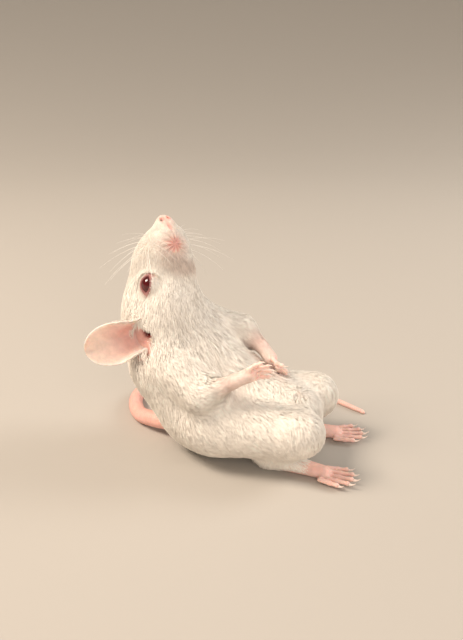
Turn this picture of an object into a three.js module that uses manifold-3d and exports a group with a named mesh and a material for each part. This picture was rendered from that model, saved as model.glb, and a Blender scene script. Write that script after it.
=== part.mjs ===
// A young white pet mouse at life size, sitting up on its haunches with its nose raised and its
// forepaws held out in front of it. A still model: nothing moves.
// Millimetres, +Z up. The hips face -Y, the mouse's right side is -X, and the origin is the centre of
// the flat under its rump, on the floor.
//
// The flesh is one smooth body of tapered limbs and ellipsoids, blended where they meet. Each named
// part keeps the flesh that lies nearer to its own bones than to any other's, less half of a thin cut.
import * as THREE from "three";
import { mergeVertices } from "three/addons/utils/BufferGeometryUtils.js";
import Module from "manifold-3d";

const wasm = await Module();
wasm.setup();

const { lerp, smoothstep, degToRad, clamp } = THREE.MathUtils;
const v = (x, y, z) => new THREE.Vector3(x, y, z);

// ---------- Driving dimensions ----------
const CUT = 0.5; // width of the thin cuts between named parts
const SNAP = 0.002; // vertices lie on a grid this fine, so that none are closer together
const CLEARANCE = 0.35; // between the flesh and the ears and tail set against it
const EYE = { radius: 1.6, gap: 0.3, centre: v(4.55, -0.35, 0.2) }; // left eye; the right one mirrors it
const EAR = { length: 10.4, halfWidth: 3.9, baseHalfWidth: 2.4, thickness: 0.55 };
const TAIL = { baseRadius: 1.75, tipRadius: 0.42, sides: 8, rings: 34 };
const PAW = { wrist: 1.15, palm: 1.35, finger: 0.48, fingers: [2.5, 3.2, 3.1, 2.3], gap: 0.85, spread: 0.13 };
const FOOT = { heel: 1.75, ball: 1.25, toe: 0.56, toes: [3.6, 4.9, 5.2, 4.9, 3.4], gap: 1, spread: 0.11 };
const TOE_CURL = 0.05;
const KNUCKLE = { fore: 0.6, height: 0.85 }; // past the palm, and above the floor

// The head's own frame faces -Y with its crown up (+Z), its origin midway between the eyes.
const HEAD = {
  centre: v(0.6, 13.8, 30.4),
  nose: v(0.156, 0.022, 0.988), // where the nose points
  crown: v(0.014, 0.999, -0.043), // where the top of the head faces
};

// Joints of the skeleton, right side first. The left limbs are posed apart from the right ones.
const SPINE = { pelvis: v(0, -9, 6.4), loin: v(0, 4.2, 9.8), chest: v(0, 10.3, 16) };
const NECK = { low: v(0, 10.2, 17.5), high: v(0.5, 12.2, 22) };
const FORELEG = {
  right: {
    shoulder: v(-6, 9.6, 18.6),
    elbow: v(-9.8, 3.5, 14.2),
    wrist: v(-9.6, -2.4, 17.8),
    palm: v(-9.2, -4.8, 19),
    across: v(0.35, 0.2, -0.9), // from the first finger toward the last
    curl: 0.3,
  },
  left: {
    shoulder: v(4.4, 7.4, 21.8),
    elbow: v(6.8, 0.6, 20.6),
    wrist: v(4.4, -3.9, 18.6),
    palm: v(3.2, -5.8, 16.9),
    across: v(-0.5, 0.1, 0.85),
    curl: 0.6,
  },
};
const HINDLEG = {
  right: {
    hip: v(-5.8, 2, 7.6),
    knee: v(-7.6, -13.4, 8.4),
    heel: v(-5.6, -7.5, 1.7),
    ball: v(-7, -17.6, 1.2),
  },
  left: {
    hip: v(5.8, 2, 7.6),
    knee: v(7.6, -13.4, 8.4),
    heel: v(5.6, -7.5, 1.7),
    ball: v(7.8, -17.4, 1.2),
  },
};

// ---------- Distance functions: negative inside ----------
const scratch = v(0, 0, 0);

// A limb from a to b whose radius runs evenly from ra to rb.
function taper(a, b, ra, rb) {
  const along = b.clone().sub(a);
  const lengthSq = along.lengthSq();
  return (p) => {
    const t = clamp(scratch.copy(p).sub(a).dot(along) / lengthSq, 0, 1);
    return scratch.copy(along).multiplyScalar(t).add(a).distanceTo(p) - lerp(ra, rb, t);
  };
}

// An ellipsoid; turn is a quaternion, left out where its axes are the frame's own.
function ellipsoid(centre, radii, turn = new THREE.Quaternion()) {
  const back = turn.clone().invert();
  return (p) => {
    const q = scratch.copy(p).sub(centre).applyQuaternion(back);
    q.divide(radii);
    const outer = q.length();
    const inner = q.divide(radii).length();
    return inner < 1e-9 ? -Math.min(radii.x, radii.y, radii.z) : (outer * (outer - 1)) / inner;
  };
}

// The union of two distances, rounded off over a width.
function blended(a, b, width) {
  const h = Math.max(width - Math.abs(a - b), 0) / width;
  return Math.min(a, b) - (h * h * width) / 4;
}
const blendOf = (width, ...shapes) => (p) => shapes.map((s) => s(p)).reduce((a, b) => blended(a, b, width));

// ---------- The head's frame ----------
const back = HEAD.nose.clone().negate().normalize();
const leftward = back.clone().cross(HEAD.crown).normalize();
const headTurn = new THREE.Quaternion().setFromRotationMatrix(
  new THREE.Matrix4().makeBasis(leftward, back, leftward.clone().cross(back)),
);
const onHead = (x, y, z) => v(x, y, z).applyQuaternion(headTurn).add(HEAD.centre);
const headEllipsoid = (centre, radii) => ellipsoid(onHead(...centre), v(...radii), headTurn);
const headTaper = (a, b, ra, rb) => taper(onHead(...a), onHead(...b), ra, rb);
const bothSides = (make) => [make(-1), make(1)];

function headFlesh() {
  return blendOf(
    2,
    headEllipsoid([0, 5, 0.4], [6.3, 8.2, 6.9]), // skull and coat over it
    headEllipsoid([0, -2, -0.2], [4.8, 7.4, 5.8]), // face
    headEllipsoid([0, -6.2, -0.6], [3.2, 4.2, 3.2]), // muzzle
    ...bothSides((s) => headEllipsoid([s * 3.4, 5.2, -2.3], [3.9, 5.8, 4.2])), // cheeks
    ...bothSides((s) => headEllipsoid([s * 1.6, -7.0, -1.5], [2.4, 3.1, 2.4])), // whisker pads
    headTaper([0, -6.0, -3.3], [0, 1, -3], 1.5, 3.8), // lower jaw and chin
  );
}
const noseFlesh = () =>
  blendOf(
    0.8,
    headEllipsoid([0, -10.1, -0.4], [1.7, 1.9, 1.4]), // tip
    headEllipsoid([0, -9.9, -1.3], [1.2, 1.7, 1.3]), // cleft above the lip
  );

// ---------- Neck, trunk and limbs ----------
const neckFlesh = () => taper(NECK.low, NECK.high, 8.6, 7.7);
const trunkFlesh = () =>
  blendOf(
    4,
    taper(SPINE.loin, SPINE.pelvis, 10, 6.5),
    taper(SPINE.loin, SPINE.chest, 9.6, 9),
    ellipsoid(v(0, -4.5, 8), v(9.8, 10.6, 5.8)), // belly
  );

const upperArm = ({ shoulder, elbow }) => taper(shoulder, elbow, 4.0, 2.9);
const forearm = ({ elbow, wrist }) => taper(elbow, wrist, 2.3, 1.1);
const thigh = ({ hip, knee }) => taper(hip, knee, 6.2, 4.3);
const shank = ({ knee, heel }) => taper(knee, heel, 3.9, 2.3);

// Digits fanned out from the knuckles. Each is a root length and a tip length that bends down.
function digits({ knuckle, forward, across, lengths, spread, gap, radius, curl }) {
  const rootShare = 0.55;
  const tipShare = 0.42;
  const down = across.clone().cross(forward).normalize();
  return lengths.map((length, i) => {
    const side = i - (lengths.length - 1) / 2;
    const root = knuckle.clone().addScaledVector(across, side * gap);
    const heading = forward.clone().applyAxisAngle(down, -side * spread);
    const middle = root.clone().addScaledVector(heading, length * rootShare);
    const tip = middle.clone().addScaledVector(heading, length * tipShare);
    tip.addScaledVector(down, curl * length * tipShare);
    return blendOf(0.2, taper(root, middle, radius * 1.1, radius), taper(middle, tip, radius, radius * 0.85));
  });
}

function forepaw({ wrist, palm, across, curl }) {
  const forward = palm.clone().sub(wrist).normalize();
  const fingers = digits({
    knuckle: palm.clone().addScaledVector(forward, KNUCKLE.fore),
    forward,
    across: across.clone().addScaledVector(forward, -across.dot(forward)).normalize(),
    lengths: PAW.fingers,
    spread: PAW.spread,
    gap: PAW.gap,
    radius: PAW.finger,
    curl,
  });
  return blendOf(0.5, taper(wrist, palm, PAW.wrist, PAW.palm), ...fingers);
}

function hindFoot({ heel, ball }) {
  const forward = ball.clone().sub(heel).setZ(0).normalize();
  const toes = digits({
    knuckle: ball.clone().setZ(KNUCKLE.height),
    forward,
    across: v(forward.y, -forward.x, 0),
    lengths: FOOT.toes,
    spread: FOOT.spread,
    gap: FOOT.gap,
    radius: FOOT.toe,
    curl: TOE_CURL,
  });
  return blendOf(0.6, taper(heel, ball, FOOT.heel, FOOT.ball), ...toes);
}

// Every fleshy part in the order in which it is blended into the body, with the width of its blend
// and the size of the cells that its surface is made from. A bare part has no fur.
const FLESH = [
  { name: "trunk", at: trunkFlesh(), cell: 2.05 },
  { name: "neck", at: neckFlesh(), blend: 4, cell: 1.8 },
  { name: "head", at: headFlesh(), blend: 3, cell: 1.38 },
  { name: "nose", at: noseFlesh(), blend: 1, cell: 0.5, bare: true },
  ...["right", "left"].flatMap((side) => {
    const fore = FORELEG[side];
    const hind = HINDLEG[side];
    return [
      { name: `upper_arm_${side}`, at: upperArm(fore), blend: 2.5, cell: 1.5 },
      { name: `forearm_${side}`, at: forearm(fore), blend: 1.6, cell: 1 },
      { name: `forepaw_${side}`, at: forepaw(fore), blend: 0.6, cell: 0.52, bare: true },
      { name: `thigh_${side}`, at: thigh(hind), blend: 2.2, cell: 1.9 },
      { name: `shank_${side}`, at: shank(hind), blend: 1.6, cell: 1.5 },
      { name: `hind_foot_${side}`, at: hindFoot(hind), blend: 0.8, cell: 0.72, bare: true },
    ];
  }),
];
const bodyAt = (p) =>
  FLESH.slice(1).reduce((d, part) => blended(d, part.at(p), part.blend), FLESH[0].at(p));

// The share of the body that is a part's own: inside the body, and nearer to it than to the others.
function ownFlesh(part) {
  const others = FLESH.filter((other) => other !== part);
  return (p) => {
    const own = part.at(p);
    const nearest = Math.min(...others.map((other) => other.at(p)));
    return -blended(-bodyAt(p), -(own - nearest) / 2 - CUT / 2, CUT);
  };
}

// ---------- From a distance function to a closed mesh ----------
// A cell's corners are numbered by their x, y and z as bits. EDGES and FACES hold corner numbers.
const CORNERS = Array.from({ length: 8 }, (_, i) => v(i & 1, (i >> 1) & 1, i >> 2));
const EDGES = CORNERS.flatMap((_, i) => [1, 2, 4].filter((bit) => !(i & bit)).map((bit) => [i, i + bit]));
const FACES = [1, 2, 4].flatMap((bit) => {
  const [u, w] = [1, 2, 4].filter((other) => other !== bit);
  return [0, bit].map((first) => [first, first + u, first + u + w, first + w]);
});
const edgeBetween = (a, b) => EDGES.findIndex(([i, j]) => i === Math.min(a, b) && j === Math.max(a, b));

// The surface may pass through a cell more than once. This gives, for each of its edges, the number
// of the sheet that crosses it, or -1. Two inside corners that only share a face's diagonal stay apart.
function sheetsThrough(corner) {
  const inside = corner.map((value) => value < 0);
  const sheet = EDGES.map(([a, b], i) => (inside[a] !== inside[b] ? i : -1));
  const join = (a, b) => {
    const [from, to] = [sheet[a], sheet[b]];
    sheet.forEach((value, i) => value === from && (sheet[i] = to));
  };
  for (const face of FACES) {
    const sides = face.map((c, i) => edgeBetween(c, face[(i + 1) % 4]));
    const crossed = sides.filter((side) => sheet[side] >= 0);
    if (crossed.length === 2) join(...crossed);
    if (crossed.length === 4) face.forEach((c, i) => inside[c] && join(sides[i], sides[(i + 3) % 4]));
  }
  return sheet;
}

// Slides a point along the slope of a distance until the distance there is zero.
function settle(point, at, rounds = 3) {
  const step = 0.02;
  for (let round = 0; round < rounds; round++) {
    const d = at(point);
    const slope = v(
      at(point.clone().setX(point.x + step)) - d,
      at(point.clone().setY(point.y + step)) - d,
      at(point.clone().setZ(point.z + step)) - d,
    ).divideScalar(step);
    point.addScaledVector(slope, -d / Math.max(slope.lengthSq(), 0.25));
  }
  return point;
}

// Surface nets: one vertex in each cell that the surface passes through, one quad across each grid
// edge that it crosses.
function surfaceOf(at, box, cell) {
  const margin = 1.37; // cells outside the box; uneven, so that no grid point falls on a flat
  const farthest = 0.35; // cells that a vertex may slide
  const size = box.getSize(v(0, 0, 0)).divideScalar(cell).ceil().addScalar(3);
  const start = box.min.clone().addScalar(-cell * margin);
  const index = (x, y, z) => (z * size.y + y) * size.x + x;
  const gridPoint = (x, y, z) => v(x, y, z).multiplyScalar(cell).add(start);
  const value = new Float32Array(size.x * size.y * size.z);
  for (let z = 0; z < size.z; z++)
    for (let y = 0; y < size.y; y++)
      for (let x = 0; x < size.x; x++) value[index(x, y, z)] = at(gridPoint(x, y, z));

  const verticesOf = new Map();
  const positions = [];
  for (let z = 0; z < size.z - 1; z++)
    for (let y = 0; y < size.y - 1; y++)
      for (let x = 0; x < size.x - 1; x++) {
        const corner = CORNERS.map((c) => value[index(x + c.x, y + c.y, z + c.z)]);
        if (corner.every((d) => d < 0) || corner.every((d) => d >= 0)) continue;
        const sheets = sheetsThrough(corner);
        const vertices = sheets.map(() => -1);
        for (const sheet of new Set(sheets.filter((number) => number >= 0))) {
          const edges = EDGES.filter((_, i) => sheets[i] === sheet);
          const mean = v(0, 0, 0);
          for (const [a, b] of edges) {
            const share = corner[a] / (corner[a] - corner[b]);
            mean.add(CORNERS[a].clone().lerp(CORNERS[b], share));
          }
          const centre = mean.divideScalar(edges.length).add(v(x, y, z)).multiplyScalar(cell).add(start);
          const settled = settle(centre.clone(), at);
          sheets.forEach((number, i) => number === sheet && (vertices[i] = positions.length / 3));
          positions.push(...(settled.distanceTo(centre) < cell * farthest ? settled : centre));
        }
        verticesOf.set(index(x, y, z), vertices);
      }

  const faces = [];
  const AROUND = [v(0, 0, 0), v(1, 0, 0), v(1, 1, 0), v(0, 1, 0)];
  for (let z = 1; z < size.z - 1; z++)
    for (let y = 1; y < size.y - 1; y++)
      for (let x = 1; x < size.x - 1; x++)
        for (const [bit, u, w] of [[1, 2, 4], [2, 4, 1], [4, 1, 2]]) {
          const along = CORNERS[bit];
          const here = value[index(x, y, z)] < 0;
          const next = value[index(x + along.x, y + along.y, z + along.z)] < 0;
          if (here === next) continue;
          const around = AROUND.map(({ x: i, y: j }) => {
            const corner = i * u + j * w;
            const offset = CORNERS[corner];
            const vertices = verticesOf.get(index(x - offset.x, y - offset.y, z - offset.z));
            return vertices[edgeBetween(corner, corner + bit)];
          });
          const [a, b, c, d] = here ? around : around.reverse();
          faces.push(a, b, c, a, c, d);
        }
  return new THREE.BufferGeometry()
    .setAttribute("position", new THREE.Float32BufferAttribute(positions, 3))
    .setIndex(faces);
}

// The box that a part's own flesh lies in, found on a coarse grid over the whole body.
const BODY_BOX = new THREE.Box3(v(-18, -36, -2), v(18, 26, 50));
function boxOf(at) {
  const step = 1.5;
  const box = new THREE.Box3();
  const p = v(0, 0, 0);
  for (p.z = BODY_BOX.min.z; p.z <= BODY_BOX.max.z; p.z += step)
    for (p.y = BODY_BOX.min.y; p.y <= BODY_BOX.max.y; p.y += step)
      for (p.x = BODY_BOX.min.x; p.x <= BODY_BOX.max.x; p.x += step) if (at(p) < step) box.expandByPoint(p);
  return box;
}

// ---------- Solids ----------
function solidOf(geometry) {
  geometry.deleteAttribute("normal");
  geometry.deleteAttribute("uv");
  const position = geometry.attributes.position;
  position.array.forEach((value, i) => (position.array[i] = Math.round(value / SNAP) * SNAP));
  const merged = mergeVertices(geometry, SNAP / 10);
  return new wasm.Manifold(
    new wasm.Mesh({
      numProp: 3,
      vertProperties: merged.attributes.position.array,
      triVerts: new Uint32Array(merged.index.array),
    }),
  );
}
function geometryOf(solid) {
  const { vertProperties, triVerts } = solid.getMesh();
  return new THREE.BufferGeometry()
    .setAttribute("position", new THREE.BufferAttribute(vertProperties, 3))
    .setIndex(new THREE.BufferAttribute(triVerts, 1));
}
const ball = (centre, radius, segments = 12) =>
  solidOf(new THREE.SphereGeometry(radius, segments, segments / 2).translate(...centre));
// A solid's largest body. Crumbs that touch it along one edge come off once the edge is merged anew.
const largest = (solid) =>
  solidOf(geometryOf(solid))
    .decompose()
    .reduce((a, b) => (a.volume() > b.volume() ? a : b));

// Rings of equal length joined into a closed skin; cap says how the two ends are filled.
function loft(rings, cap) {
  const count = rings[0].length;
  const faces = [];
  for (let i = 0; i < rings.length - 1; i++)
    for (let j = 0; j < count; j++) {
      const [a, b] = [i * count + j, i * count + ((j + 1) % count)];
      faces.push(a, b, b + count, a, b + count, a + count);
    }
  const last = (rings.length - 1) * count;
  for (const [a, b, c] of cap(count)) faces.push(c, b, a, last + a, last + b, last + c);
  return new THREE.BufferGeometry()
    .setAttribute("position", new THREE.Float32BufferAttribute(rings.flat().flatMap((p) => p.toArray()), 3))
    .setIndex(faces);
}
const fanCap = (count) => Array.from({ length: count - 2 }, (_, i) => [0, i + 1, i + 2]);
const stripCap = (count) =>
  Array.from({ length: count / 2 - 1 }, (_, i) => [
    [i, i + 1, count - 1 - i],
    [i + 1, count - 2 - i, count - 1 - i],
  ]).flat();

// ---------- Ears ----------
// Each ear is a thin cupped blade: its sections are arcs, deeply rolled at the notch and opening
// toward the rounded tip. lean is the way it points, hollow the way its bowl faces.
const EAR_POSE = {
  right: { root: [-4.6, 8.0, 1.9], lean: [-0.35, 0.35, 0.85], hollow: [-0.9, 0.05, -0.35] },
  left: { root: [4.6, 8.0, 1.9], lean: [0.35, 0.55, 0.75], hollow: [0.8, -0.4, -0.3] },
};
function ear(side) {
  const { root, lean, hollow } = EAR_POSE[side];
  const axis = v(...lean).applyQuaternion(headTurn).normalize();
  const front = v(...hollow).applyQuaternion(headTurn);
  front.addScaledVector(axis, -front.dot(axis)).normalize();
  const across = axis.clone().cross(front);
  const base = onHead(...root);
  const rows = 9;
  const columns = 9;
  const rings = Array.from({ length: rows + 1 }, (_, i) => {
    const s = Math.sin((i / rows) * Math.PI * 0.5) * 0.995;
    const widened = lerp(EAR.baseHalfWidth, EAR.halfWidth, smoothstep(s, 0, 0.55));
    const rounding = Math.sqrt(1 - Math.max(0, (s - 0.5) / 0.5) ** 2);
    const halfWidth = widened * Math.max(rounding, 0.1);
    const roll = degToRad(lerp(105, 30, smoothstep(s, 0, 0.7)));
    const radius = halfWidth / Math.sin(Math.min(roll, Math.PI / 2));
    const edge = (shift, j) => {
      const angle = roll * (1 - (2 * j) / (columns - 1));
      return base
        .clone()
        .addScaledVector(axis, s * EAR.length)
        .addScaledVector(across, (radius + shift) * Math.sin(angle))
        .addScaledVector(front, radius - (radius + shift) * Math.cos(angle));
    };
    const outside = Array.from({ length: columns }, (_, j) => edge(EAR.thickness / 2, j));
    const inside = Array.from({ length: columns }, (_, j) => edge(-EAR.thickness / 2, columns - 1 - j));
    return [...outside, ...inside];
  });
  return solidOf(loft(rings, stripCap));
}

// ---------- Tail ----------
// It leaves the back of the rump, comes down to the floor and curls round the mouse's left side.
const TAIL_ROOT = v(0.4, 8, 3.4);
const ON_FLOOR = 0.2; // the share of its length at which it has come down to the floor
const tailPath = new THREE.CatmullRomCurve3(
  [
    TAIL_ROOT,
    v(0.9, 14, 2.6),
    v(4.5, 20.5, 1.7),
    v(13, 24, 1.4),
    v(22, 20, 1.2),
    v(27, 10, 1),
    v(27.5, -1, 0.8),
    v(24, -12, 0.6),
    v(18.5, -22, 0.4),
  ],
  false,
  "centripetal",
);
// The tail between two shares of its length, with a flat side down.
function tailLength(from, to) {
  const steps = Math.round((to - from) * TAIL.rings);
  const up = v(0, 0, 1);
  const rings = Array.from({ length: steps + 1 }, (_, i) => {
    const s = lerp(from, to, i / steps);
    const radius = lerp(TAIL.baseRadius, TAIL.tipRadius, s);
    const rest = radius * Math.cos(Math.PI / TAIL.sides);
    const centre = tailPath.getPointAt(s);
    centre.z = s > ON_FLOOR ? rest : Math.max(centre.z, rest);
    const heading = tailPath.getTangentAt(s).setZ(0).normalize();
    const across = up.clone().cross(heading);
    return Array.from({ length: TAIL.sides }, (_, j) => {
      const angle = ((j + 0.5) / TAIL.sides) * 2 * Math.PI;
      const outward = across.clone().multiplyScalar(Math.cos(angle));
      outward.addScaledVector(up, Math.sin(angle));
      return centre.clone().addScaledVector(outward, radius);
    });
  });
  return solidOf(loft(rings, fanCap));
}

// ---------- The mouse ----------
const FINISH = {
  fur: { color: 0xf2ece2, roughness: 0.85, metalness: 0 },
  bare: { color: 0xe2a79c, roughness: 0.6, metalness: 0 },
  eye: { color: 0x5a0a10, roughness: 0.1, metalness: 0 },
};
const mouse = new THREE.Group();
function add(name, solid, finish) {
  const mesh = new THREE.Mesh(geometryOf(solid), new THREE.MeshStandardMaterial(finish));
  mesh.name = name;
  mouse.add(mesh);
}

const underfloor = solidOf(new THREE.BoxGeometry(120, 120, 10).translate(0, 0, -5));
const eyeCentre = (side) => {
  const { x, y, z } = EYE.centre;
  return onHead(side === "right" ? -x : x, y, z);
};

// The flesh within reach of a point, grown by the clearance: what an ear or the tail is cut back by.
function bodyNear(centre, reach) {
  const box = new THREE.Box3().setFromCenterAndSize(centre, v(2, 2, 2).multiplyScalar(reach));
  const grown = (p) => Math.max(bodyAt(p) - CLEARANCE, p.distanceTo(centre) - reach);
  return solidOf(surfaceOf(grown, box, 1));
}

for (const part of FLESH) {
  const own = ownFlesh(part);
  let solid = largest(solidOf(surfaceOf(own, boxOf(own), part.cell)));
  if (part.name === "head")
    for (const side of ["right", "left"]) solid = solid.subtract(ball(eyeCentre(side), EYE.radius + EYE.gap));
  add(part.name, largest(solid.subtract(underfloor)), part.bare ? FINISH.bare : FINISH.fur);
}
for (const side of ["right", "left"]) {
  const root = onHead(...EAR_POSE[side].root);
  add(`eye_${side}`, ball(eyeCentre(side), EYE.radius), FINISH.eye);
  add(`ear_${side}`, largest(ear(side).subtract(bodyNear(root, EAR.length))), FINISH.bare);
}
const rump = bodyNear(TAIL_ROOT, 8);
add("tail_base", largest(tailLength(0, 0.3).subtract(rump).subtract(underfloor)), FINISH.bare);
add("tail_middle", tailLength(0.304, 0.64), FINISH.bare);
add("tail_tip", tailLength(0.644, 1), FINISH.bare);
export default mouse;
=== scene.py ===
"""A young white mouse at life size, sitting up on its haunches with its nose raised.

One skin covers the whole animal. A coat of small locks lies on it, and eyes, whiskers, claws and the
scales of the tail are set into it. Shapes are worked out in millimetres and made in metres. The mouse
sits on the floor, z = 0, with its feet toward -Y and its left side toward +X.
"""

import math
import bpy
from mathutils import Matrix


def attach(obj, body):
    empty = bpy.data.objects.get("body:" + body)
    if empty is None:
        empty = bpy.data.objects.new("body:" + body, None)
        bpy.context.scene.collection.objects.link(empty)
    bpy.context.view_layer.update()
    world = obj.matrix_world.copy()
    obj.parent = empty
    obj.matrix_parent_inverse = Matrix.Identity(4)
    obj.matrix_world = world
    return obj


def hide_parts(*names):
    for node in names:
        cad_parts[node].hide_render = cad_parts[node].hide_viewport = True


bl_info = {
    "name": "White Pet Mouse",
    "version": (1, 0, 0),
    "blender": (4, 5, 0),
    "location": "3D View > Sidebar > Mouse",
    "description": "A life-size white mouse: skin, coat, eyes, whiskers, claws and tail",
    "category": "Object",
}

import bmesh
import bpy
import numpy as np
from mathutils import Matrix, Vector, kdtree

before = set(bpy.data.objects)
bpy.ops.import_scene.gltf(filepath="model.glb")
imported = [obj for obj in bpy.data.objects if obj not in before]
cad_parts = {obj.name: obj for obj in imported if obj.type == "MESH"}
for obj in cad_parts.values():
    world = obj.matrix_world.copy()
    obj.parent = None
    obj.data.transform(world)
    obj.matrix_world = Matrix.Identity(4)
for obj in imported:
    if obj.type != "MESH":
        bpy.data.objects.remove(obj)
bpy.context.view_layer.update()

MM = 0.001
SIDES = ("right", "left")


# ---------- Vectors: points are rows, in millimetres ----------
def vec(*numbers):
    return np.array(numbers, float)


def unit(v):
    v = np.asarray(v, float)
    return v / np.maximum(np.linalg.norm(v, axis=-1, keepdims=True), 1e-9)


def smooth(low, high, x):
    t = np.clip((x - low) / (high - low), 0, 1)
    return t * t * (3 - 2 * t)


def mix(a, b, t):
    return a + (b - a) * t


def across(v, normal):
    """The part of v that lies in the surface with this normal, at unit length."""
    return unit(v - (v * normal).sum(-1, keepdims=True) * normal)


# ---------- Distances: negative inside ----------
def blended(a, b, width):
    """The union of two distances, rounded off over a width."""
    h = np.maximum(width - np.abs(a - b), 0) / width
    return np.minimum(a, b) - h * h * width / 4


def carved(a, b, width):
    """a with b taken out of it, rounded off over a width."""
    return -blended(-a, b, width)


def share(p, a, b):
    """How far along the bone from a to b each point is, from 0 to 1."""
    return np.clip((p - a) @ (b - a) / ((b - a) @ (b - a)), 0, 1)


def taper(p, a, b, ra, rb):
    t = share(p, a, b)
    return np.linalg.norm(p - a - t[:, None] * (b - a), axis=1) - mix(ra, rb, t)


def sphere(p, centre, radius):
    return np.linalg.norm(p - centre, axis=1) - radius


def ellipsoid(p, centre, radii):
    q = (p - centre) / radii
    outer = np.linalg.norm(q, axis=1)
    inner = np.linalg.norm(q / radii, axis=1)
    return outer * (outer - 1) / np.maximum(inner, 1e-9)


def blend_of(width, *distances):
    made = distances[0]
    for d in distances[1:]:
        made = blended(made, d, width)
    return made


# ---------- The skeleton ----------
HEAD_AT = vec(0.6, 13.8, 30.4)  # a point between the eyes, where the head's frame starts
BACK = -unit(vec(0.156, 0.022, 0.988))  # from the nose to the back of the head
LEFTWARD = unit(np.cross(BACK, vec(0.014, 0.999, -0.043)))
HEAD_TURN = np.stack([LEFTWARD, BACK, np.cross(LEFTWARD, BACK)], axis=1)
PELVIS, LOIN, CHEST = vec(0, -9, 6.4), vec(0, 4.2, 9.8), vec(0, 10.3, 16)
NECK_LOW, NECK_HIGH = vec(0, 10.2, 17.5), vec(0.5, 12.2, 22)
FORELEG = {
    "right": {
        "shoulder": vec(-6, 9.6, 18.6),
        "elbow": vec(-9.8, 3.5, 14.2),
        "wrist": vec(-9.6, -2.4, 17.8),
        "palm": vec(-9.2, -4.8, 19),
        "across": vec(0.35, 0.2, -0.9),
        "curl": 0.3,
    },
    "left": {
        "shoulder": vec(4.4, 7.4, 21.8),
        "elbow": vec(6.8, 0.6, 20.6),
        "wrist": vec(4.4, -3.9, 18.6),
        "palm": vec(3.2, -5.8, 16.9),
        "across": vec(-0.5, 0.1, 0.85),
        "curl": 0.6,
    },
}
HINDLEG = {
    "right": {
        "hip": vec(-5.8, 2, 7.6),
        "knee": vec(-7.6, -13.4, 8.4),
        "heel": vec(-5.6, -7.5, 1.7),
        "ball": vec(-7, -17.6, 1.2),
    },
    "left": {
        "hip": vec(5.8, 2, 7.6),
        "knee": vec(7.6, -13.4, 8.4),
        "heel": vec(5.6, -7.5, 1.7),
        "ball": vec(7.8, -17.4, 1.2),
    },
}
FINGERS, TOES = (2.5, 3.2, 3.1, 2.3), (3.6, 4.9, 5.2, 4.9, 3.4)  # lengths
FINGER_RADIUS, TOE_RADIUS = 0.43, 0.53
FIRST_BONE, LAST_BONE = 0.55, 0.42  # of a digit's length
EYE_AT = vec(4.55, -0.35, 0.2)  # the left one, in the head's frame; the right one mirrors it
EYE_RADIUS = 1.6
FLOOR_GAP = 0.02  # skin and hair keep this far off the floor


def to_head(p):
    """Points in the head's frame: +X its left, -Y its nose, +Z its crown."""
    return (p - HEAD_AT) @ HEAD_TURN


def on_head(*place):
    return HEAD_TURN @ vec(*place) + HEAD_AT


def folded(q):
    """Points of the head or snout with its right half laid on its left one."""
    return np.abs(q) * vec(1, 0, 0) + q * vec(0, 1, 1)


def digits(knuckle, forward, sideways, lengths, spread, gap, curl):
    """The two bones of each digit as (root, middle, tip), and the way its underside faces."""
    down = unit(np.cross(sideways, forward))
    made = []
    for i, length in enumerate(lengths):
        side = i - (len(lengths) - 1) / 2
        root = knuckle + sideways * side * gap
        turn = np.array(Matrix.Rotation(-side * spread, 3, Vector(down)))
        heading = turn @ forward
        middle = root + heading * length * FIRST_BONE
        tip = middle + heading * length * LAST_BONE + down * curl * length * LAST_BONE
        made.append((root, middle, tip))
    return made, down


def fore_digits(leg):
    forward = unit(leg["palm"] - leg["wrist"])
    sideways = across(leg["across"], forward)
    return digits(leg["palm"] + forward * 0.6, forward, sideways, FINGERS, 0.17, 0.87, leg["curl"])


def hind_digits(leg):
    forward = unit((leg["ball"] - leg["heel"]) * vec(1, 1, 0))
    sideways = vec(forward[1], -forward[0], 0)
    knuckle = vec(leg["ball"][0], leg["ball"][1], 0.85)
    return digits(knuckle, forward, sideways, TOES, 0.11, 1.0, 0.05)


def toes_at(p, bones, radius):
    """Digits with a swelling at the joint and a round pad under the tip."""
    parts = []
    for root, middle, tip in bones:
        parts.append(taper(p, root, middle, radius * 1.02, radius * 0.86))
        parts.append(taper(p, middle, tip, radius * 0.86, radius * 0.74))
        parts.append(sphere(p, middle, radius * 0.98))
        parts.append(sphere(p, tip, radius * 0.9))
    return blend_of(0.18, *parts)


# ---------- The flesh ----------
def head_at(p):
    q = to_head(p)
    mirrored = folded(q)
    return blend_of(
        2,
        ellipsoid(q, vec(0, 5, 0.4), vec(6.3, 8.2, 6.9)),  # skull
        ellipsoid(q, vec(0, -2, -0.2), vec(4.8, 7.4, 5.8)),  # brow
        ellipsoid(q, vec(0, -6.2, -0.6), vec(3.2, 4.2, 3.2)),  # muzzle
        ellipsoid(mirrored, vec(3.4, 5.2, -2.3), vec(3.9, 5.8, 4.2)),  # cheeks
        ellipsoid(mirrored, vec(1.6, -7.0, -1.5), vec(2.4, 3.1, 2.4)),  # whisker pads
        taper(q, vec(0, -6, -3.3), vec(0, 1, -3), 1.5, 3.8),  # lower jaw
    )


def nose_at(p):
    q = to_head(p)
    tip = ellipsoid(q, vec(0, -10.1, -0.4), vec(1.7, 1.9, 1.4))
    return blended(tip, ellipsoid(q, vec(0, -9.9, -1.3), vec(1.2, 1.7, 1.3)), 0.8)


def trunk_at(p):
    return blend_of(
        4,
        taper(p, LOIN, PELVIS, 10, 6.5),  # rump
        taper(p, LOIN, CHEST, 9.6, 9),
        ellipsoid(p, vec(0, -4.5, 8), vec(9.8, 10.6, 5.8)),  # belly
    )


def limb(a, b, ra, rb):
    return lambda p: taper(p, a, b, ra, rb)


def paw(a, b, ra, rb, bones, radius, width):
    return lambda p: blended(taper(p, a, b, ra, rb), toes_at(p, bones, radius), width)


def toward(v):
    """Hair that lies one way all over a part."""
    return lambda p: np.broadcast_to(unit(v), p.shape)


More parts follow.
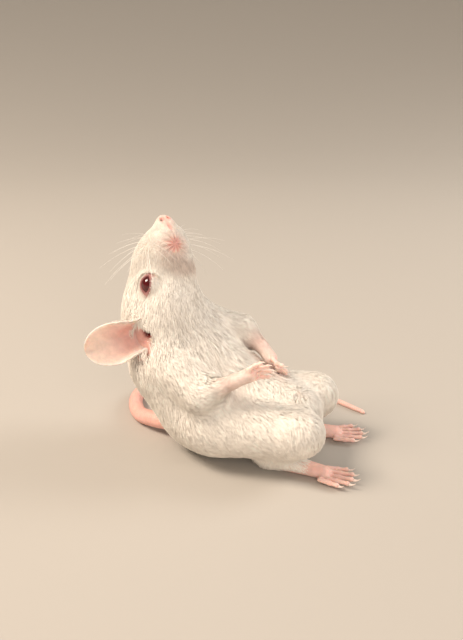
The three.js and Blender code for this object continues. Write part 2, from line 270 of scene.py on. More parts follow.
def head_hair(p):
    q = to_head(p)
    return unit(q - vec(0, -12.5, -0.4)) @ HEAD_TURN.T + BACK * 0.5


def trunk_hair(p):
    return unit(vec(0, 3, -16) - p)


def head_depth(p):
    return np.interp(to_head(p)[:, 1], [-9, -5, 1, 7], [0.12, 0.3, 0.55, 0.9])


def even(depth):
    """A coat equally deep all over a part."""
    return lambda p: depth


def thinning(a, b, start, end):
    """A coat that thins from a to b."""
    return lambda p: mix(start, end, share(p, a, b))


def flesh_parts():
    """Rows of name, distance, blend into the body, depth of the coat, lie of its hair, length of a lock."""
    rows = [
        ("trunk", trunk_at, 1, even(1.05), trunk_hair, 2.5),
        ("neck", limb(NECK_LOW, NECK_HIGH, 8.6, 7.7), 4, even(1.0), toward(vec(-0.1, -0.35, -1)), 2.6),
        ("head", head_at, 3, head_depth, head_hair, 1.9),
        ("nose", nose_at, 1, even(0.02), head_hair, 0.4),
    ]
    for side in SIDES:
        fore, hind = FORELEG[side], HINDLEG[side]
        shoulder, elbow, wrist, palm = (fore[k] for k in ("shoulder", "elbow", "wrist", "palm"))
        hip, knee, heel, ball = (hind[k] for k in ("hip", "knee", "heel", "ball"))
        hand = paw(wrist, palm, 1.1, 1.25, fore_digits(fore)[0], FINGER_RADIUS, 0.5)
        foot = paw(heel, ball, 1.75, 1.25, hind_digits(hind)[0], TOE_RADIUS, 0.6)
        thinner = thinning(elbow, wrist, 0.6, 0.12)
        down_thigh = toward(unit(knee - hip) + vec(0, 0, -0.8))
        for name, *row in (
            ("upper_arm", limb(shoulder, elbow, 4.0, 2.9), 2.5, even(0.8), toward(elbow - shoulder), 1.6),
            ("forearm", limb(elbow, wrist, 2.3, 1.1), 1.6, thinner, toward(wrist - elbow), 1.15),
            ("forepaw", hand, 0.6, even(0.03), toward(palm - wrist), 0.5),
            ("thigh", limb(hip, knee, 6.2, 4.3), 2.2, even(1.0), down_thigh, 2.1),
            ("shank", limb(knee, heel, 3.9, 2.3), 1.6, even(0.7), toward(heel - knee), 1.4),
            ("hind_foot", foot, 0.8, even(0.06), toward(ball - heel), 0.6),
        ):
            rows.append((f"{name}_{side}", *row))
    return rows


FLESH = flesh_parts()
FLESH_NAMES = [part[0] for part in FLESH]


def part_distances(p):
    """Distances to each part of the flesh with its coat on."""
    return [part[1](p) for part in FLESH]


def whole(p, distances, by_depth):
    """The blended body, as deep as the skin or out to the tips of the coat."""
    made = None
    for part, d in zip(FLESH, distances):
        d = d + part[3](p) if by_depth else d
        made = d if made is None else blended(made, d, part[2])
    return made


def outline_at(p):
    """Distance outside the tips of the coat."""
    return whole(p, part_distances(p), False)


# ---------- The face ----------
EYE_OUT = unit(vec(0.93, -0.2, 0.3))  # where the left eye looks
EYE_LONG = across(vec(0, 1, 0), EYE_OUT)  # from its front corner to its back one
EYE_SHORT = np.cross(EYE_OUT, EYE_LONG)
LID = 0.18  # how far the lids stand off the ball
OPENING = (1.5, 1.05)  # half the length and height of the opening
SNOUT_TURN = math.radians(38)  # the snout is turned to the right about its own axis
NOSTRIL = vec(0.62, -11.4, -1.2)
MOUTH = vec(0, -7.2, -3.75)
MOUTH_FACES = unit(vec(0, -0.3, -1))
FOLD_HEIGHT = 0.14  # of the folds round the mouth
EYE_WELL = 0.4  # how deep the opening between the lids cuts into the ball
EAR_POSE = {
    "right": ((-4.6, 8.0, 1.9), (-0.35, 0.35, 0.85), (-0.9, 0.05, -0.35)),
    "left": ((4.6, 8.0, 1.9), (0.35, 0.55, 0.75), (0.8, -0.4, -0.3)),
}
EAR_LENGTH, EAR_HALF_WIDTH, EAR_BASE = 10.4, 3.9, 2.8


def ear_frame(side):
    """The ear's root, the way it points, the way across it and the way its bowl faces."""
    root, lean, hollow = EAR_POSE[side]
    axis = unit(HEAD_TURN @ vec(*lean))
    front = across(HEAD_TURN @ vec(*hollow), axis)
    return on_head(*root), axis, np.cross(axis, front), front


def to_snout(q):
    """Points of the head in the frame of the snout, which is turned about the head's length."""
    turn = SNOUT_TURN * smooth(-2, -6, q[:, 1])
    x, y, z = q.T
    return np.stack([x * np.cos(turn) - z * np.sin(turn), y, x * np.sin(turn) + z * np.cos(turn)], 1)


def from_snout(*place):
    """A place on the snout, in the head's frame."""
    x, y, z = place
    turn = SNOUT_TURN * float(smooth(-2, -6, y))
    return x * math.cos(turn) + z * math.sin(turn), y, z * math.cos(turn) - x * math.sin(turn)


def bow_radius(long, high):
    """Radius of the two arcs of an almond with this half length and half height."""
    return (long**2 + high**2) / (2 * high)


def lids_gap(m, wider=0.0, higher=0.0):
    """Distance outside the almond between the lids. Behind the eyeball it only grows."""
    e = m - EYE_AT
    out, u, w = e @ EYE_OUT, e @ EYE_LONG, e @ EYE_SHORT
    long, high = OPENING[0] + wider, OPENING[1] + higher
    bow = bow_radius(long, high)
    gap = np.maximum(np.hypot(u, w - bow + high), np.hypot(u, w + bow - high)) - bow
    return np.maximum(gap, -out)


def lip_folds(s):
    """Height of the fine folds that spread from the mouth like a star."""
    side, up = s[:, 0], (s - MOUTH) @ np.cross(MOUTH_FACES, vec(1, 0, 0))
    reach, angle = np.hypot(side, up), np.arctan2(side, up)
    near = np.exp(-(((reach - 1.1) / 1.2) ** 2)) * smooth(3.6, 2.0, np.linalg.norm(s - MOUTH, axis=1))
    wrinkle = np.cos(angle * 11 + 0.8 * np.sin(angle * 3)) * smooth(0.1, 0.6, reach)
    return near * wrinkle * FOLD_HEIGHT


def groove(s):
    """Distance outside the groove that runs from the nose to the mouth."""
    return taper(s, vec(0, -11.95, -1.9), vec(0, -8.4, -3.7), 0.08, 0.1)


def ear_cup(p, side):
    """1 on the ear's side of the hollow at its root, where the skin is bare, and 0 elsewhere."""
    root, axis, _, front = ear_frame(side)
    bowl, canal = ear_bowl(p, side)
    along, out = (p - root) @ axis, (p - root) @ front
    behind = smooth(2.4, 1.7, bowl) * smooth(-1.5, -0.5, along)
    behind = np.maximum(behind, smooth(3.4, 2.7, bowl) * smooth(0.0, 0.8, along)) * smooth(-0.6, 0.2, out)
    return np.maximum(behind, smooth(0.4, 0.1, np.minimum(bowl, canal)))


def ear_bowl(p, side):
    """Distance outside the hollow at the root of an ear, and outside the canal at its bottom."""
    root, axis, _, front = ear_frame(side)
    bowl = taper(p, root + front * 2.7 + axis * 0.2, root + front * 3.2 + axis * 4.0, 1.55, 2.4)
    canal = taper(p, root + front * 1.6 - axis * 1.3, root + front * 3.0 - axis * 0.2, 0.7, 0.95)
    return bowl, canal


def face_at(p, d):
    """The lids, nostrils, lips and ear openings worked into the distance d."""
    q = to_head(p)
    m, s = folded(q), to_snout(q)
    from_eye = np.linalg.norm(m - EYE_AT, axis=1)
    d = blended(d, from_eye - EYE_RADIUS - LID, 1.1)
    d = carved(d, np.maximum(lids_gap(m, -0.02, -0.02), EYE_RADIUS - EYE_WELL - from_eye), 0.1)
    d = carved(d, ellipsoid(folded(s), NOSTRIL, vec(0.2, 0.5, 0.34)), 0.2)
    d = carved(d, groove(s), 0.35) + lip_folds(s)
    d = carved(d, ellipsoid(s, MOUTH, vec(0.5, 0.55, 0.6)), 0.45)
    for name in SIDES:
        bowl, canal = ear_bowl(p, name)
        d = carved(carved(d, bowl, 0.6), canal, 0.3)
    return d


def skin_at(p):
    """Distance outside the skin below the coat, with the face worked in and the underside flat."""
    d = face_at(p, whole(p, part_distances(p), True))
    return np.maximum(d, FLOOR_GAP - p[:, 2])


def slope(distance, p, step=0.03):
    """The distance at each point, and how it grows along x, y and z."""
    here = distance(p)
    found = [distance(p + step * axis) - here for axis in np.eye(3)]
    return here, np.stack(found, axis=1) / step


def settle(distance, p, height=0.0, rounds=2):
    """Points slid along the slope until they stand at a height over the surface."""
    for _ in range(rounds):
        here, g = slope(distance, p)
        p = p + g * ((height - here) / np.maximum((g * g).sum(1), 0.3))[:, None]
    return p


# ---------- Colours ----------
def linear(code):
    """A hex colour as three linear numbers."""
    c = np.array([int(code[i : i + 2], 16) for i in (1, 3, 5)]) / 255
    return np.where(c <= 0.04045, c / 12.92, ((c + 0.055) / 1.055) ** 2.4)


WHITE = linear("#fdf6ec")  # hair
UNDERFUR = linear("#f3e2d3")  # skin below the full coat
CHIN_THIN_AND_SHADED = linear("#cdb3a4")  # the chin, where the coat is thin; partly painted shade under the muzzle
PINK = linear("#f2c8bc")  # bare skin
PALE = linear("#f8dacf")  # skin of the forearms and hands
ROSE_AND_CREASE_SHADE = linear("#c98078")  # rosy skin round the mouth and in the ears; in the nose's groove, the nostrils and the creases between the fingers it is painted shade
MAUVE = linear("#a8716f")  # the lids
RED_AND_HOLLOW_SHADE = linear("#7c2c28")  # red wet skin of the mouth, ear canals and lids' rims; in the mouth and canals it is darkened as painted shade
TAIL_ROSE = linear("#e9b5a8")
# The ear's pale rim colour stands for its white fine hairs, and is partly a painted highlight.
EAR_PINK, EAR_RIM_HAIR_AND_HIGHLIGHT = linear("#f7dccf"), linear("#fdf1e8")


def tint(base, colour, amount):
    """Each point's base colour moved toward another by its own amount."""
    return mix(base, colour, np.clip(amount, 0, 1)[:, None])


def face_marks(p):
    """Distances to the marks of the face. "chin" and "nose" are shares of their own sizes."""
    q = to_head(p)
    m, s = folded(q), to_snout(q)
    return {
        "lids": lids_gap(m),
        "corners": lids_gap(m, 0.5, 0.1),
        "mouth": np.linalg.norm(s - MOUTH, axis=1),
        "nose": np.linalg.norm((s - vec(0, -11.9, -1.5)) / vec(1.05, 0.9, 1.1), axis=1),
        "nostril": np.linalg.norm(folded(s) - NOSTRIL, axis=1),
        "groove": groove(s),
        "over eye": smooth(-0.5, 0.5, (m - EYE_AT) @ vec(0, -0.5, 1)),  # 1 above it, 0 below
        "chin": np.linalg.norm((s - vec(0, -3.9, -4.4)) / vec(4.2, 1.9, 3.0), axis=1),
    }


def bare_hand(p, d, side):
    """1 on the hand from about the palm out, and 0 elsewhere."""
    wrist, palm = FORELEG[side]["wrist"], FORELEG[side]["palm"]
    ahead = smooth(-1.6, 0.6, (p - palm) @ unit(palm - wrist))
    return ahead * smooth(1.6, 0.5, d[f"forepaw_{side}"])


def bare_foot(p, d, side):
    """1 on the sole and front half of the hind foot, and 0 elsewhere."""
    heel, ball = HINDLEG[side]["heel"], HINDLEG[side]["ball"]
    foot = d[f"hind_foot_{side}"]
    clear = smooth(-0.2, 0.6, np.minimum(d[f"shank_{side}"], d["trunk"]) - foot)
    ahead = smooth(-6.5, -1.5, (p - ball) @ unit(ball - heel))
    return smooth(1.6, 0.5, foot) * clear * np.maximum(smooth(1.3, 0.7, p[:, 2]), ahead)


def bareness(p):
    """1 where the skin shows, 0 under the full coat."""
    d = dict(zip(FLESH_NAMES, part_distances(p)))
    marks = face_marks(p)
    bare = [
        smooth(0.3, 0.14, marks["lids"]),
        smooth(0.1, 0.0, marks["corners"]),
        smooth(2.1, 1.2, marks["mouth"]),
        smooth(0.5, 0.25, marks["groove"]),
        smooth(1.35, 0.95, marks["nose"]),
    ]
    for side in SIDES:
        bare += [bare_hand(p, d, side), bare_foot(p, d, side), ear_cup(p, side)]
    return np.max(bare, axis=0)


def from_hand(p, side):
    """Distance outside a rod of 1 mm radius from the wrist to the palm."""
    return taper(p, FORELEG[side]["wrist"], FORELEG[side]["palm"], 1, 1)


def between_fingers(p, side):
    """1 in the creases where two fingers of a hand meet, where shade is painted."""
    bones, _ = fore_digits(FORELEG[side])
    d = np.sort([taper(p, root, tip, FINGER_RADIUS, FINGER_RADIUS) for root, _, tip in bones], axis=0)
    return smooth(0.22, 0.0, d[1] - d[0]) * smooth(0.5, 0.1, d[0])


def skin_colour(p):
    """Pale under the coat, pink where it is bare, and darker round the lids, mouth, nose and ears. Painted
    shade darkens the groove from the nose to the mouth, the nostrils, the red inside the mouth and the ear
    canals, and the creases between the fingers; the chin is darker for its thin coat and for painted shade.
    """
    marks = face_marks(p)
    colour = tint(np.broadcast_to(UNDERFUR, p.shape), PINK, bareness(p))
    for side in SIDES:
        colour = tint(colour, PALE, 0.8 * smooth(4.5, 3.5, from_hand(p, side)))
    # Thin coat under the chin, darkened partly as painted shade under the muzzle.
    colour = tint(colour, CHIN_THIN_AND_SHADED, 0.5 * smooth(1.3, 0.5, marks["chin"]))
    colour = tint(colour, MAUVE, 0.8 * smooth(0.6, 0.0, marks["corners"]))
    colour = tint(colour, MAUVE, smooth(0.3, 0.08, marks["lids"]))
    colour = tint(colour, ROSE_AND_CREASE_SHADE, 0.8 * smooth(1.9, 0.5, marks["mouth"]))
    # Painted shade in the groove from the nose to the mouth.
    colour = tint(colour, ROSE_AND_CREASE_SHADE, 0.5 * smooth(0.4, 0.05, marks["groove"]))
    # Red inside the mouth, darkened as painted shade in the opening.
    colour = tint(colour, RED_AND_HOLLOW_SHADE, 0.7 * smooth(0.75, 0.25, marks["mouth"]))
    # Painted shade in and round the nostrils.
    colour = tint(colour, ROSE_AND_CREASE_SHADE, 0.6 * smooth(0.75, 0.35, marks["nostril"]))
    for side in SIDES:
        colour = tint(colour, ROSE_AND_CREASE_SHADE, 0.5 * ear_cup(p, side))
        # Red in the ear canal, darkened as painted shade in the hole.
        colour = tint(colour, RED_AND_HOLLOW_SHADE, smooth(0.6, 0.0, ear_bowl(p, side)[1]))
        # Painted shade in the creases between the fingers.
        colour = tint(colour, ROSE_AND_CREASE_SHADE, 0.55 * between_fingers(p, side))
    return colour


def coat_colour(p):
    """White all over, a little pink where the coat thins, and duller under the chin, where the coat is thin
    and shade is painted in.
    """
    marks = face_marks(p)
    thin = np.maximum(smooth(3.4, 1.2, marks["mouth"]), smooth(2.6, 1.2, marks["nose"]))
    for side in SIDES:
        thin = np.maximum(thin, smooth(4.5, 0.5, from_hand(p, side)))
    colour = tint(np.broadcast_to(WHITE, p.shape), PINK, 0.5 * thin)
    colour = tint(colour, MAUVE, 0.45 * smooth(0.75, 0.1, marks["lids"]) * marks["over eye"])
    # Duller under the chin: thin coat, and painted shade under the muzzle.
    return tint(colour, CHIN_THIN_AND_SHADED, 0.6 * smooth(1.25, 0.45, marks["chin"]))


# ---------- Nodes ----------
def add(tree, kind, inputs=None, **settings):
    """Adds a node. A socket among the inputs is linked, and anything else is its value."""
    made = tree.nodes.new(kind)
    for name, value in settings.items():
        setattr(made, name, value)
    for key, value in (inputs or {}).items():
        if isinstance(value, bpy.types.NodeSocket):
            tree.links.new(value, made.inputs[key])
        else:
            made.inputs[key].default_value = value
    return made


def rgba(colour):
    return (*(float(c) for c in colour), 1.0)


def material(name, colour, roughness, build=None, **principled):
    """A Principled material. build(tree) may give sockets for its inputs."""
    made = bpy.data.materials.new(name)
    made.use_nodes = True
    tree = made.node_tree
    tree.nodes.clear()
    inputs = {"Base Color": rgba(colour), "Roughness": roughness}
    inputs.update({key.replace("_", " "): value for key, value in principled.items()})
    if build:
        inputs.update(build(tree))
    shader = add(tree, "ShaderNodeBsdfPrincipled", inputs)
    add(tree, "ShaderNodeOutputMaterial", {"Surface": shader.outputs[0]})
    return made


def noise(tree, size_mm, detail=3.0, roughness=0.55):
    """Noise whose blobs are about this many millimetres across."""
    place = add(tree, "ShaderNodeTexCoord").outputs["Object"]
    scale = 1 / (size_mm * MM)
    return add(
        tree,
        "ShaderNodeTexNoise",
        {"Vector": place, "Scale": scale, "Detail": detail, "Roughness": roughness},
    ).outputs[0]


def varied(tree, colour, amount, factor):
    """A colour made darker and lighter by a factor from 0 to 1."""
    shift = add(
        tree,
        "ShaderNodeMapRange",
        {"Value": factor, "From Min": 0.3, "From Max": 0.7, "To Min": 1 - amount, "To Max": 1 + amount},
    ).outputs[0]
    return add(
        tree,
        "ShaderNodeVectorMath",
        {0: colour, "Scale": shift},
        operation="SCALE",
    ).outputs[0]


# White mouse hair: keratin with no pigment, so bright and a little silky.
def fur_nodes(tree):
    own = add(tree, "ShaderNodeAttribute", attribute_name="tint").outputs["Color"]
    return {"Base Color": varied(tree, own, 0.06, noise(tree, 1.6))}


# Thin living skin: blood shows through it, and fine creases break its shine.
def skin_nodes(tree):
    own = add(tree, "ShaderNodeAttribute", attribute_name="tint").outputs["Color"]
    place = add(tree, "ShaderNodeTexCoord").outputs["Object"]
    grain = add(
        tree, "ShaderNodeTexVoronoi", {"Vector": place, "Scale": 1 / (0.28 * MM)}, feature="SMOOTH_F1"
    ).outputs[0]
    return {
        "Base Color": varied(tree, own, 0.09, noise(tree, 1.1)),
        "Normal": add(
            tree, "ShaderNodeBump", {"Height": grain, "Distance": 0.05 * MM, "Strength": 0.7}
        ).outputs[0],
    }


# Scales of the tail: thin dull horn, pink from the skin below.
def tail_nodes(tree):
    return {"Base Color": varied(tree, tuple(linear("#e6aa9d")), 0.1, noise(tree, 0.9))}


# Wet cornea over an eye with no pigment, so that it looks deep red.
def eye_nodes(tree, colour):
    return {"Base Color": varied(tree, tuple(colour), 0.25, noise(tree, 1.4))}


# ---------- Meshes ----------
def mesh_object(name, verts, faces, materials=()):
    """A smooth mesh object from rows in millimetres, in the scene."""
    mesh = bpy.data.meshes.new(name)
    faces = np.asarray(faces)
    count, corners = faces.shape
    mesh.vertices.add(len(verts))
    move_points(mesh, verts)
    mesh.loops.add(count * corners)
    mesh.loops.foreach_set("vertex_index", faces.astype(np.int32).ravel())
    mesh.polygons.add(count)
    mesh.polygons.foreach_set("loop_start", np.arange(0, count * corners, corners, dtype=np.int32))
    mesh.update(calc_edges=True)
    mesh.validate()
    mesh.shade_smooth()
    for each in materials:
        mesh.materials.append(each)
    made = bpy.data.objects.new(name, mesh)
    bpy.context.scene.collection.objects.link(made)
    return made


def mesh_points(mesh):
    co = np.empty(len(mesh.vertices) * 3, np.float32)
    mesh.vertices.foreach_get("co", co)
    return co.reshape(-1, 3).astype(float) / MM


def move_points(mesh, verts):
    """Puts the mesh's vertices at rows in millimetres."""
    mesh.vertices.foreach_set("co", (np.asarray(verts) * MM).astype(np.float32).ravel())


def set_share(mesh, name, values):
    layer = mesh.attributes.new(name, "FLOAT", "POINT")
    layer.data.foreach_set("value", np.asarray(values, np.float32))


def set_tint(mesh, colours):
    layer = mesh.attributes.new("tint", "FLOAT_COLOR", "POINT")
    values = np.ones((len(colours), 4), np.float32)
    values[:, :3] = colours
    layer.data.foreach_set("color", values.ravel())


def lattice_quads(rows, columns, closed):
    """The quads of a grid of points. closed joins each row's last point to its first."""
    across_row = columns if closed else columns - 1
    i, j = (k.ravel() for k in np.meshgrid(np.arange(rows - 1), np.arange(across_row), indexing="ij"))
    right = (j + 1) % columns
    this, after = i * columns, (i + 1) * columns
    return np.stack([this + j, this + right, after + right, after + j], 1)


def sampled(distance, low, high, cell):
    """Distances on a lattice: exact near the surface, and one for each coarse block away from it."""
    coarse = 4
    count = (np.ceil((high - low) / (cell * coarse)).astype(int) + 1) * coarse
    axes = [low[k] + cell * np.arange(count[k]) for k in range(3)]
    middles = [axis.reshape(-1, coarse).mean(1) for axis in axes]
    centres = np.stack(np.meshgrid(*middles, indexing="ij"), -1).reshape(-1, 3)
    far = distance(centres).reshape([len(m) for m in middles])
    value, near = far, np.abs(far) < cell * coarse * 1.3
    for axis in range(3):
        value, near = value.repeat(coarse, axis), near.repeat(coarse, axis)
    value[near] = distance(low + np.argwhere(near) * cell)
    return value


def crossed_cells(value):
    """The mean place where the surface crosses the edges of each cell it enters, and the cells' numbers."""
    count = value.shape
    total = np.zeros((*(n - 1 for n in count), 3))
    crossings = np.zeros(total.shape[:3])
    for a in np.ndindex(2, 2, 2):
        for axis in range(3):
            if a[axis]:
                continue
            b = tuple(a + np.eye(3, dtype=int)[axis])
            va, vb = (value[tuple(slice(c[k], count[k] - 1 + c[k]) for k in range(3))] for c in (a, b))
            cross = (va < 0) != (vb < 0)
            t = np.where(cross, va / np.where(cross, va - vb, 1), 0)
            crossings += cross
            for k in range(3):
                total[..., k] += cross * (a[k] + t * (b[k] - a[k]))
    busy = crossings > 0
    number = np.full(busy.shape, -1)
    number[busy] = np.arange(busy.sum())
    return np.argwhere(busy) + total[busy] / crossings[busy][:, None], number


def crossed_edges(inside, number):
    """A quad of cell numbers round each edge of the lattice that the surface crosses, facing out."""
    faces = []
    step = np.eye(3, dtype=int)
    for axis in range(3):
        u, w = step[(axis + 1) % 3], step[(axis + 2) % 3]
        start = [slice(1, n - 1) for n in inside.shape]
        start[axis] = slice(0, inside.shape[axis] - 1)
        after = list(start)
        after[axis] = slice(1, inside.shape[axis])
        first, second = inside[tuple(start)], inside[tuple(after)]
        origin = np.array([s.start for s in start])
        for crossed, turn in ((first & ~second, 1), (~first & second, -1)):
            spot = np.argwhere(crossed) + origin
            ring = [number[tuple(c.T)] for c in (spot - u - w, spot - w, spot, spot - u)]
            faces.append(np.stack(ring, 1)[:, ::turn])
    return np.concatenate(faces)


def closed_surface(distance, low, high, cell):
    """Surface nets: a vertex in each cell that the surface crosses, a quad round each crossed edge."""
    value = sampled(distance, low, high, cell)
    places, number = crossed_cells(value)
    return low + cell * places, crossed_edges(value < 0, number)


def finer(mesh, wanted):
    """Splits in four the faces whose corners are all wanted, and makes triangles of the rest."""
    work = bmesh.new()
    work.from_mesh(mesh)
    work.verts.ensure_lookup_table()
    edges = [e for e in work.edges if all(wanted[v.index] for v in e.verts)]
    bmesh.ops.subdivide_edges(work, edges=edges, cuts=1, use_grid_fill=True)
    bmesh.ops.triangulate(work, faces=work.faces[:])
    work.to_mesh(mesh)
    work.free()


# ---------- Ears and tail ----------
def ear_points(side, rows=48, columns=41):
    """The two faces of the ear as one closed band of points, and each point's place on it."""
    root, axis, sideways, front = ear_frame(side)
    turn = np.linspace(1, -1, columns)
    inner = np.concatenate([np.zeros(columns), np.ones(columns)])
    rings, places = [], []
    for along in np.sin(np.linspace(-0.1, math.pi / 2, rows)):
        widened = mix(EAR_BASE, EAR_HALF_WIDTH, smooth(0, 0.5, along))
        rounding = math.sqrt(1 - max(0.0, (along - 0.5) / 0.5) ** 2)
        half = widened * max(rounding, 0.02)
        roll = math.radians(mix(80, 30, smooth(0, 0.7, along)))
        radius = half / math.sin(roll)
        edge = np.maximum(np.abs(turn), smooth(0.6, 1, along))
        thick = mix(0.24, 0.1, edge**3) * min(1, 2 * rounding + 0.1)
        ridge = 0.16 * np.sin(turn * 8 + along * 3) * np.exp(-(((along - 0.3) / 0.16) ** 2))
        ridge = ridge + 0.12 * np.cos(turn * 5 - 1) * smooth(0.3, 0.6, along) * rounding
        rim = 0.1 * smooth(0.75, 1, np.abs(turn)) * smooth(0.2, 0.5, along)
        bend = roll * turn
        faces = []
        for shift in (thick, -thick):
            r = radius + shift + ridge - rim
            aside, out = (r * np.sin(bend))[:, None], (radius - r * np.cos(bend))[:, None]
            faces.append(root + axis * along * EAR_LENGTH + sideways * aside + front * out)
        rings.append(np.concatenate([faces[0], faces[1][::-1]]))
        both = np.concatenate([turn, turn[::-1]])
        places.append(np.stack([np.full(2 * columns, along), both, inner], 1))
    return np.array(rings), np.array(places)


def ear_coat(place):
    """How hairy the ear is: on its back near the root, and along the rim there."""
    along, turn, inner = place.T
    back = (1 - inner) * smooth(0.62, 0.1, along)
    return np.maximum(back, smooth(0.72, 0.9, np.abs(turn)) * smooth(0.5, 0.2, along))


def ear_colour(place):
    """Pink, redder toward the root inside, and pale along the rim: the white of its fine hairs, partly a
    painted highlight.
    """
    along, turn, inner = place.T
    edge = np.abs(turn)
    colour = np.broadcast_to(EAR_PINK, (len(place), 3))
    colour = tint(colour, ROSE_AND_CREASE_SHADE, inner * 0.65 * smooth(0.75, 0.2, along) * smooth(1.0, 0.4, edge))
    # The rim is paler: white fine hairs, with a painted highlight on them.
    return tint(colour, EAR_RIM_HAIR_AND_HIGHLIGHT, 0.8 * smooth(0.82, 0.97, edge))


TAIL_WAY = (  # from inside the rump round the left side, with the height of the middle
    (0.4, 8, 3.4),
    (0.9, 14, 2.6),
    (4.5, 20.5, 1.7),
    (13, 24, 1.4),
    (22, 20, 1.2),
    (27, 10, 1),
    (27.5, -1, 0.8),
    (24, -12, 0.6),
    (18.5, -22, 0.4),
)
TAIL_RADII = (1.75, 0.42)  # at the root and at the tip


def curve_through(way):
    """Close points on a centripetal Catmull-Rom curve that passes through every row of way."""
    way = np.concatenate([[2 * way[0] - way[1]], way, [2 * way[-1] - way[-2]]])
    t = np.linspace(0, 1, 60)[:, None]
    made = []
    for a, b, c, d in zip(way, way[1:], way[2:], way[3:]):
        ab, bc, cd = (np.sqrt(np.linalg.norm(y - x)) for x, y in ((a, b), (b, c), (c, d)))
        m1 = ((b - a) / ab - (c - a) / (ab + bc) + (c - b) / bc) * bc
        m2 = ((c - b) / bc - (d - b) / (bc + cd) + (d - c) / cd) * bc
        made.append(b + m1 * t + (3 * (c - b) - 2 * m1 - m2) * t**2 + (2 * (b - c) + m1 + m2) * t**3)
    return np.concatenate(made)


def tail_line(count):
    """Points evenly along the tail, and its radius at each. It comes down from the rump to the floor."""
    line = curve_through(np.array(TAIL_WAY))
    run = np.concatenate([[0], np.cumsum(np.linalg.norm(np.diff(line, axis=0), axis=1))])
    s = np.linspace(0, 1, count)
    points = np.stack([np.interp(s * run[-1], run, line[:, k]) for k in range(3)], 1)
    radius = mix(*TAIL_RADII, s) * 0.96 * np.sqrt(1 - smooth(0.99, 1, s) ** 2 * 0.97)
    on_floor = smooth(0.12, 0.2, s)
    points[:, 2] = mix(np.maximum(points[:, 2], radius), radius, on_floor)
    return points, radius


def tube(points, radius, sides):
    """Rings of points round a line, ready for joined_surface."""
    heading = unit(np.gradient(points, axis=0))
    sideways = unit(np.cross(vec(0, 0, 1), heading))
    above = np.cross(heading, sideways)
    angle = np.linspace(0, 2 * math.pi, sides, endpoint=False)[:, None]
    rings = [
        p + r * (np.cos(angle) * s + np.sin(angle) * a)
        for p, r, s, a in zip(points, radius, sideways, above)
    ]
    return np.array(rings)


def lid_rim(side, steps=56, sides=12):
    """The soft edge of the lids: a ring of flesh round the almond, on the eyeball."""
    long, high = OPENING
    bow = bow_radius(long, high)
    reach = math.asin(long / bow)
    arc = np.linspace(-reach, reach, steps // 2, endpoint=False)
    u = np.concatenate([bow * np.sin(arc), -bow * np.sin(arc)])
    w = np.concatenate([bow * np.cos(arc) - bow + high, bow - high - bow * np.cos(arc)])
    for _ in range(2):
        u = (np.roll(u, 1) + 2 * u + np.roll(u, -1)) / 4
        w = (np.roll(w, 1) + 2 * w + np.roll(w, -1)) / 4
    out = np.sqrt((EYE_RADIUS + 0.03) ** 2 - u**2 - w**2)
    line = u[:, None] * EYE_LONG + w[:, None] * EYE_SHORT + out[:, None] * EYE_OUT
    heading = unit(np.roll(line, -1, 0) - np.roll(line, 1, 0))
    lift = unit(line)
    away = np.cross(heading, lift)
    angle = np.linspace(0, 2 * math.pi, sides, endpoint=False)[None, :, None]
    ring = line[:, None] + 0.12 * np.cos(angle) * lift[:, None] + 0.15 * np.sin(angle) * away[:, None]
    ring = (ring + EYE_AT).reshape(-1, 3)
    if side == "right":
        ring = ring * vec(-1, 1, 1)
    quads = lattice_quads(len(line) + 1, sides, True) % len(ring)
    return ring @ HEAD_TURN.T + HEAD_AT, split(quads)


def split(quads):
    """Two triangles for each quad."""
    return np.concatenate([quads[:, [0, 1, 2]], quads[:, [0, 2, 3]]])


def joined_surface(rings):
    """A closed loft of rings with a middle vertex at each end, as verts and triangles."""
    rows, columns = rings.shape[:2]
    verts = np.concatenate([rings.reshape(-1, 3), [rings[0].mean(0), rings[-1].mean(0)]])
    tris = [split(lattice_quads(rows, columns, True))]
    j = np.arange(columns)
    k = (j + 1) % columns
    first, last, base = len(verts) - 2, len(verts) - 1, (rows - 1) * columns
    tris.append(np.stack([np.full(columns, first), k, j], 1))
    tris.append(np.stack([np.full(columns, last), base + j, base + k], 1))
    return verts, np.concatenate(tris)


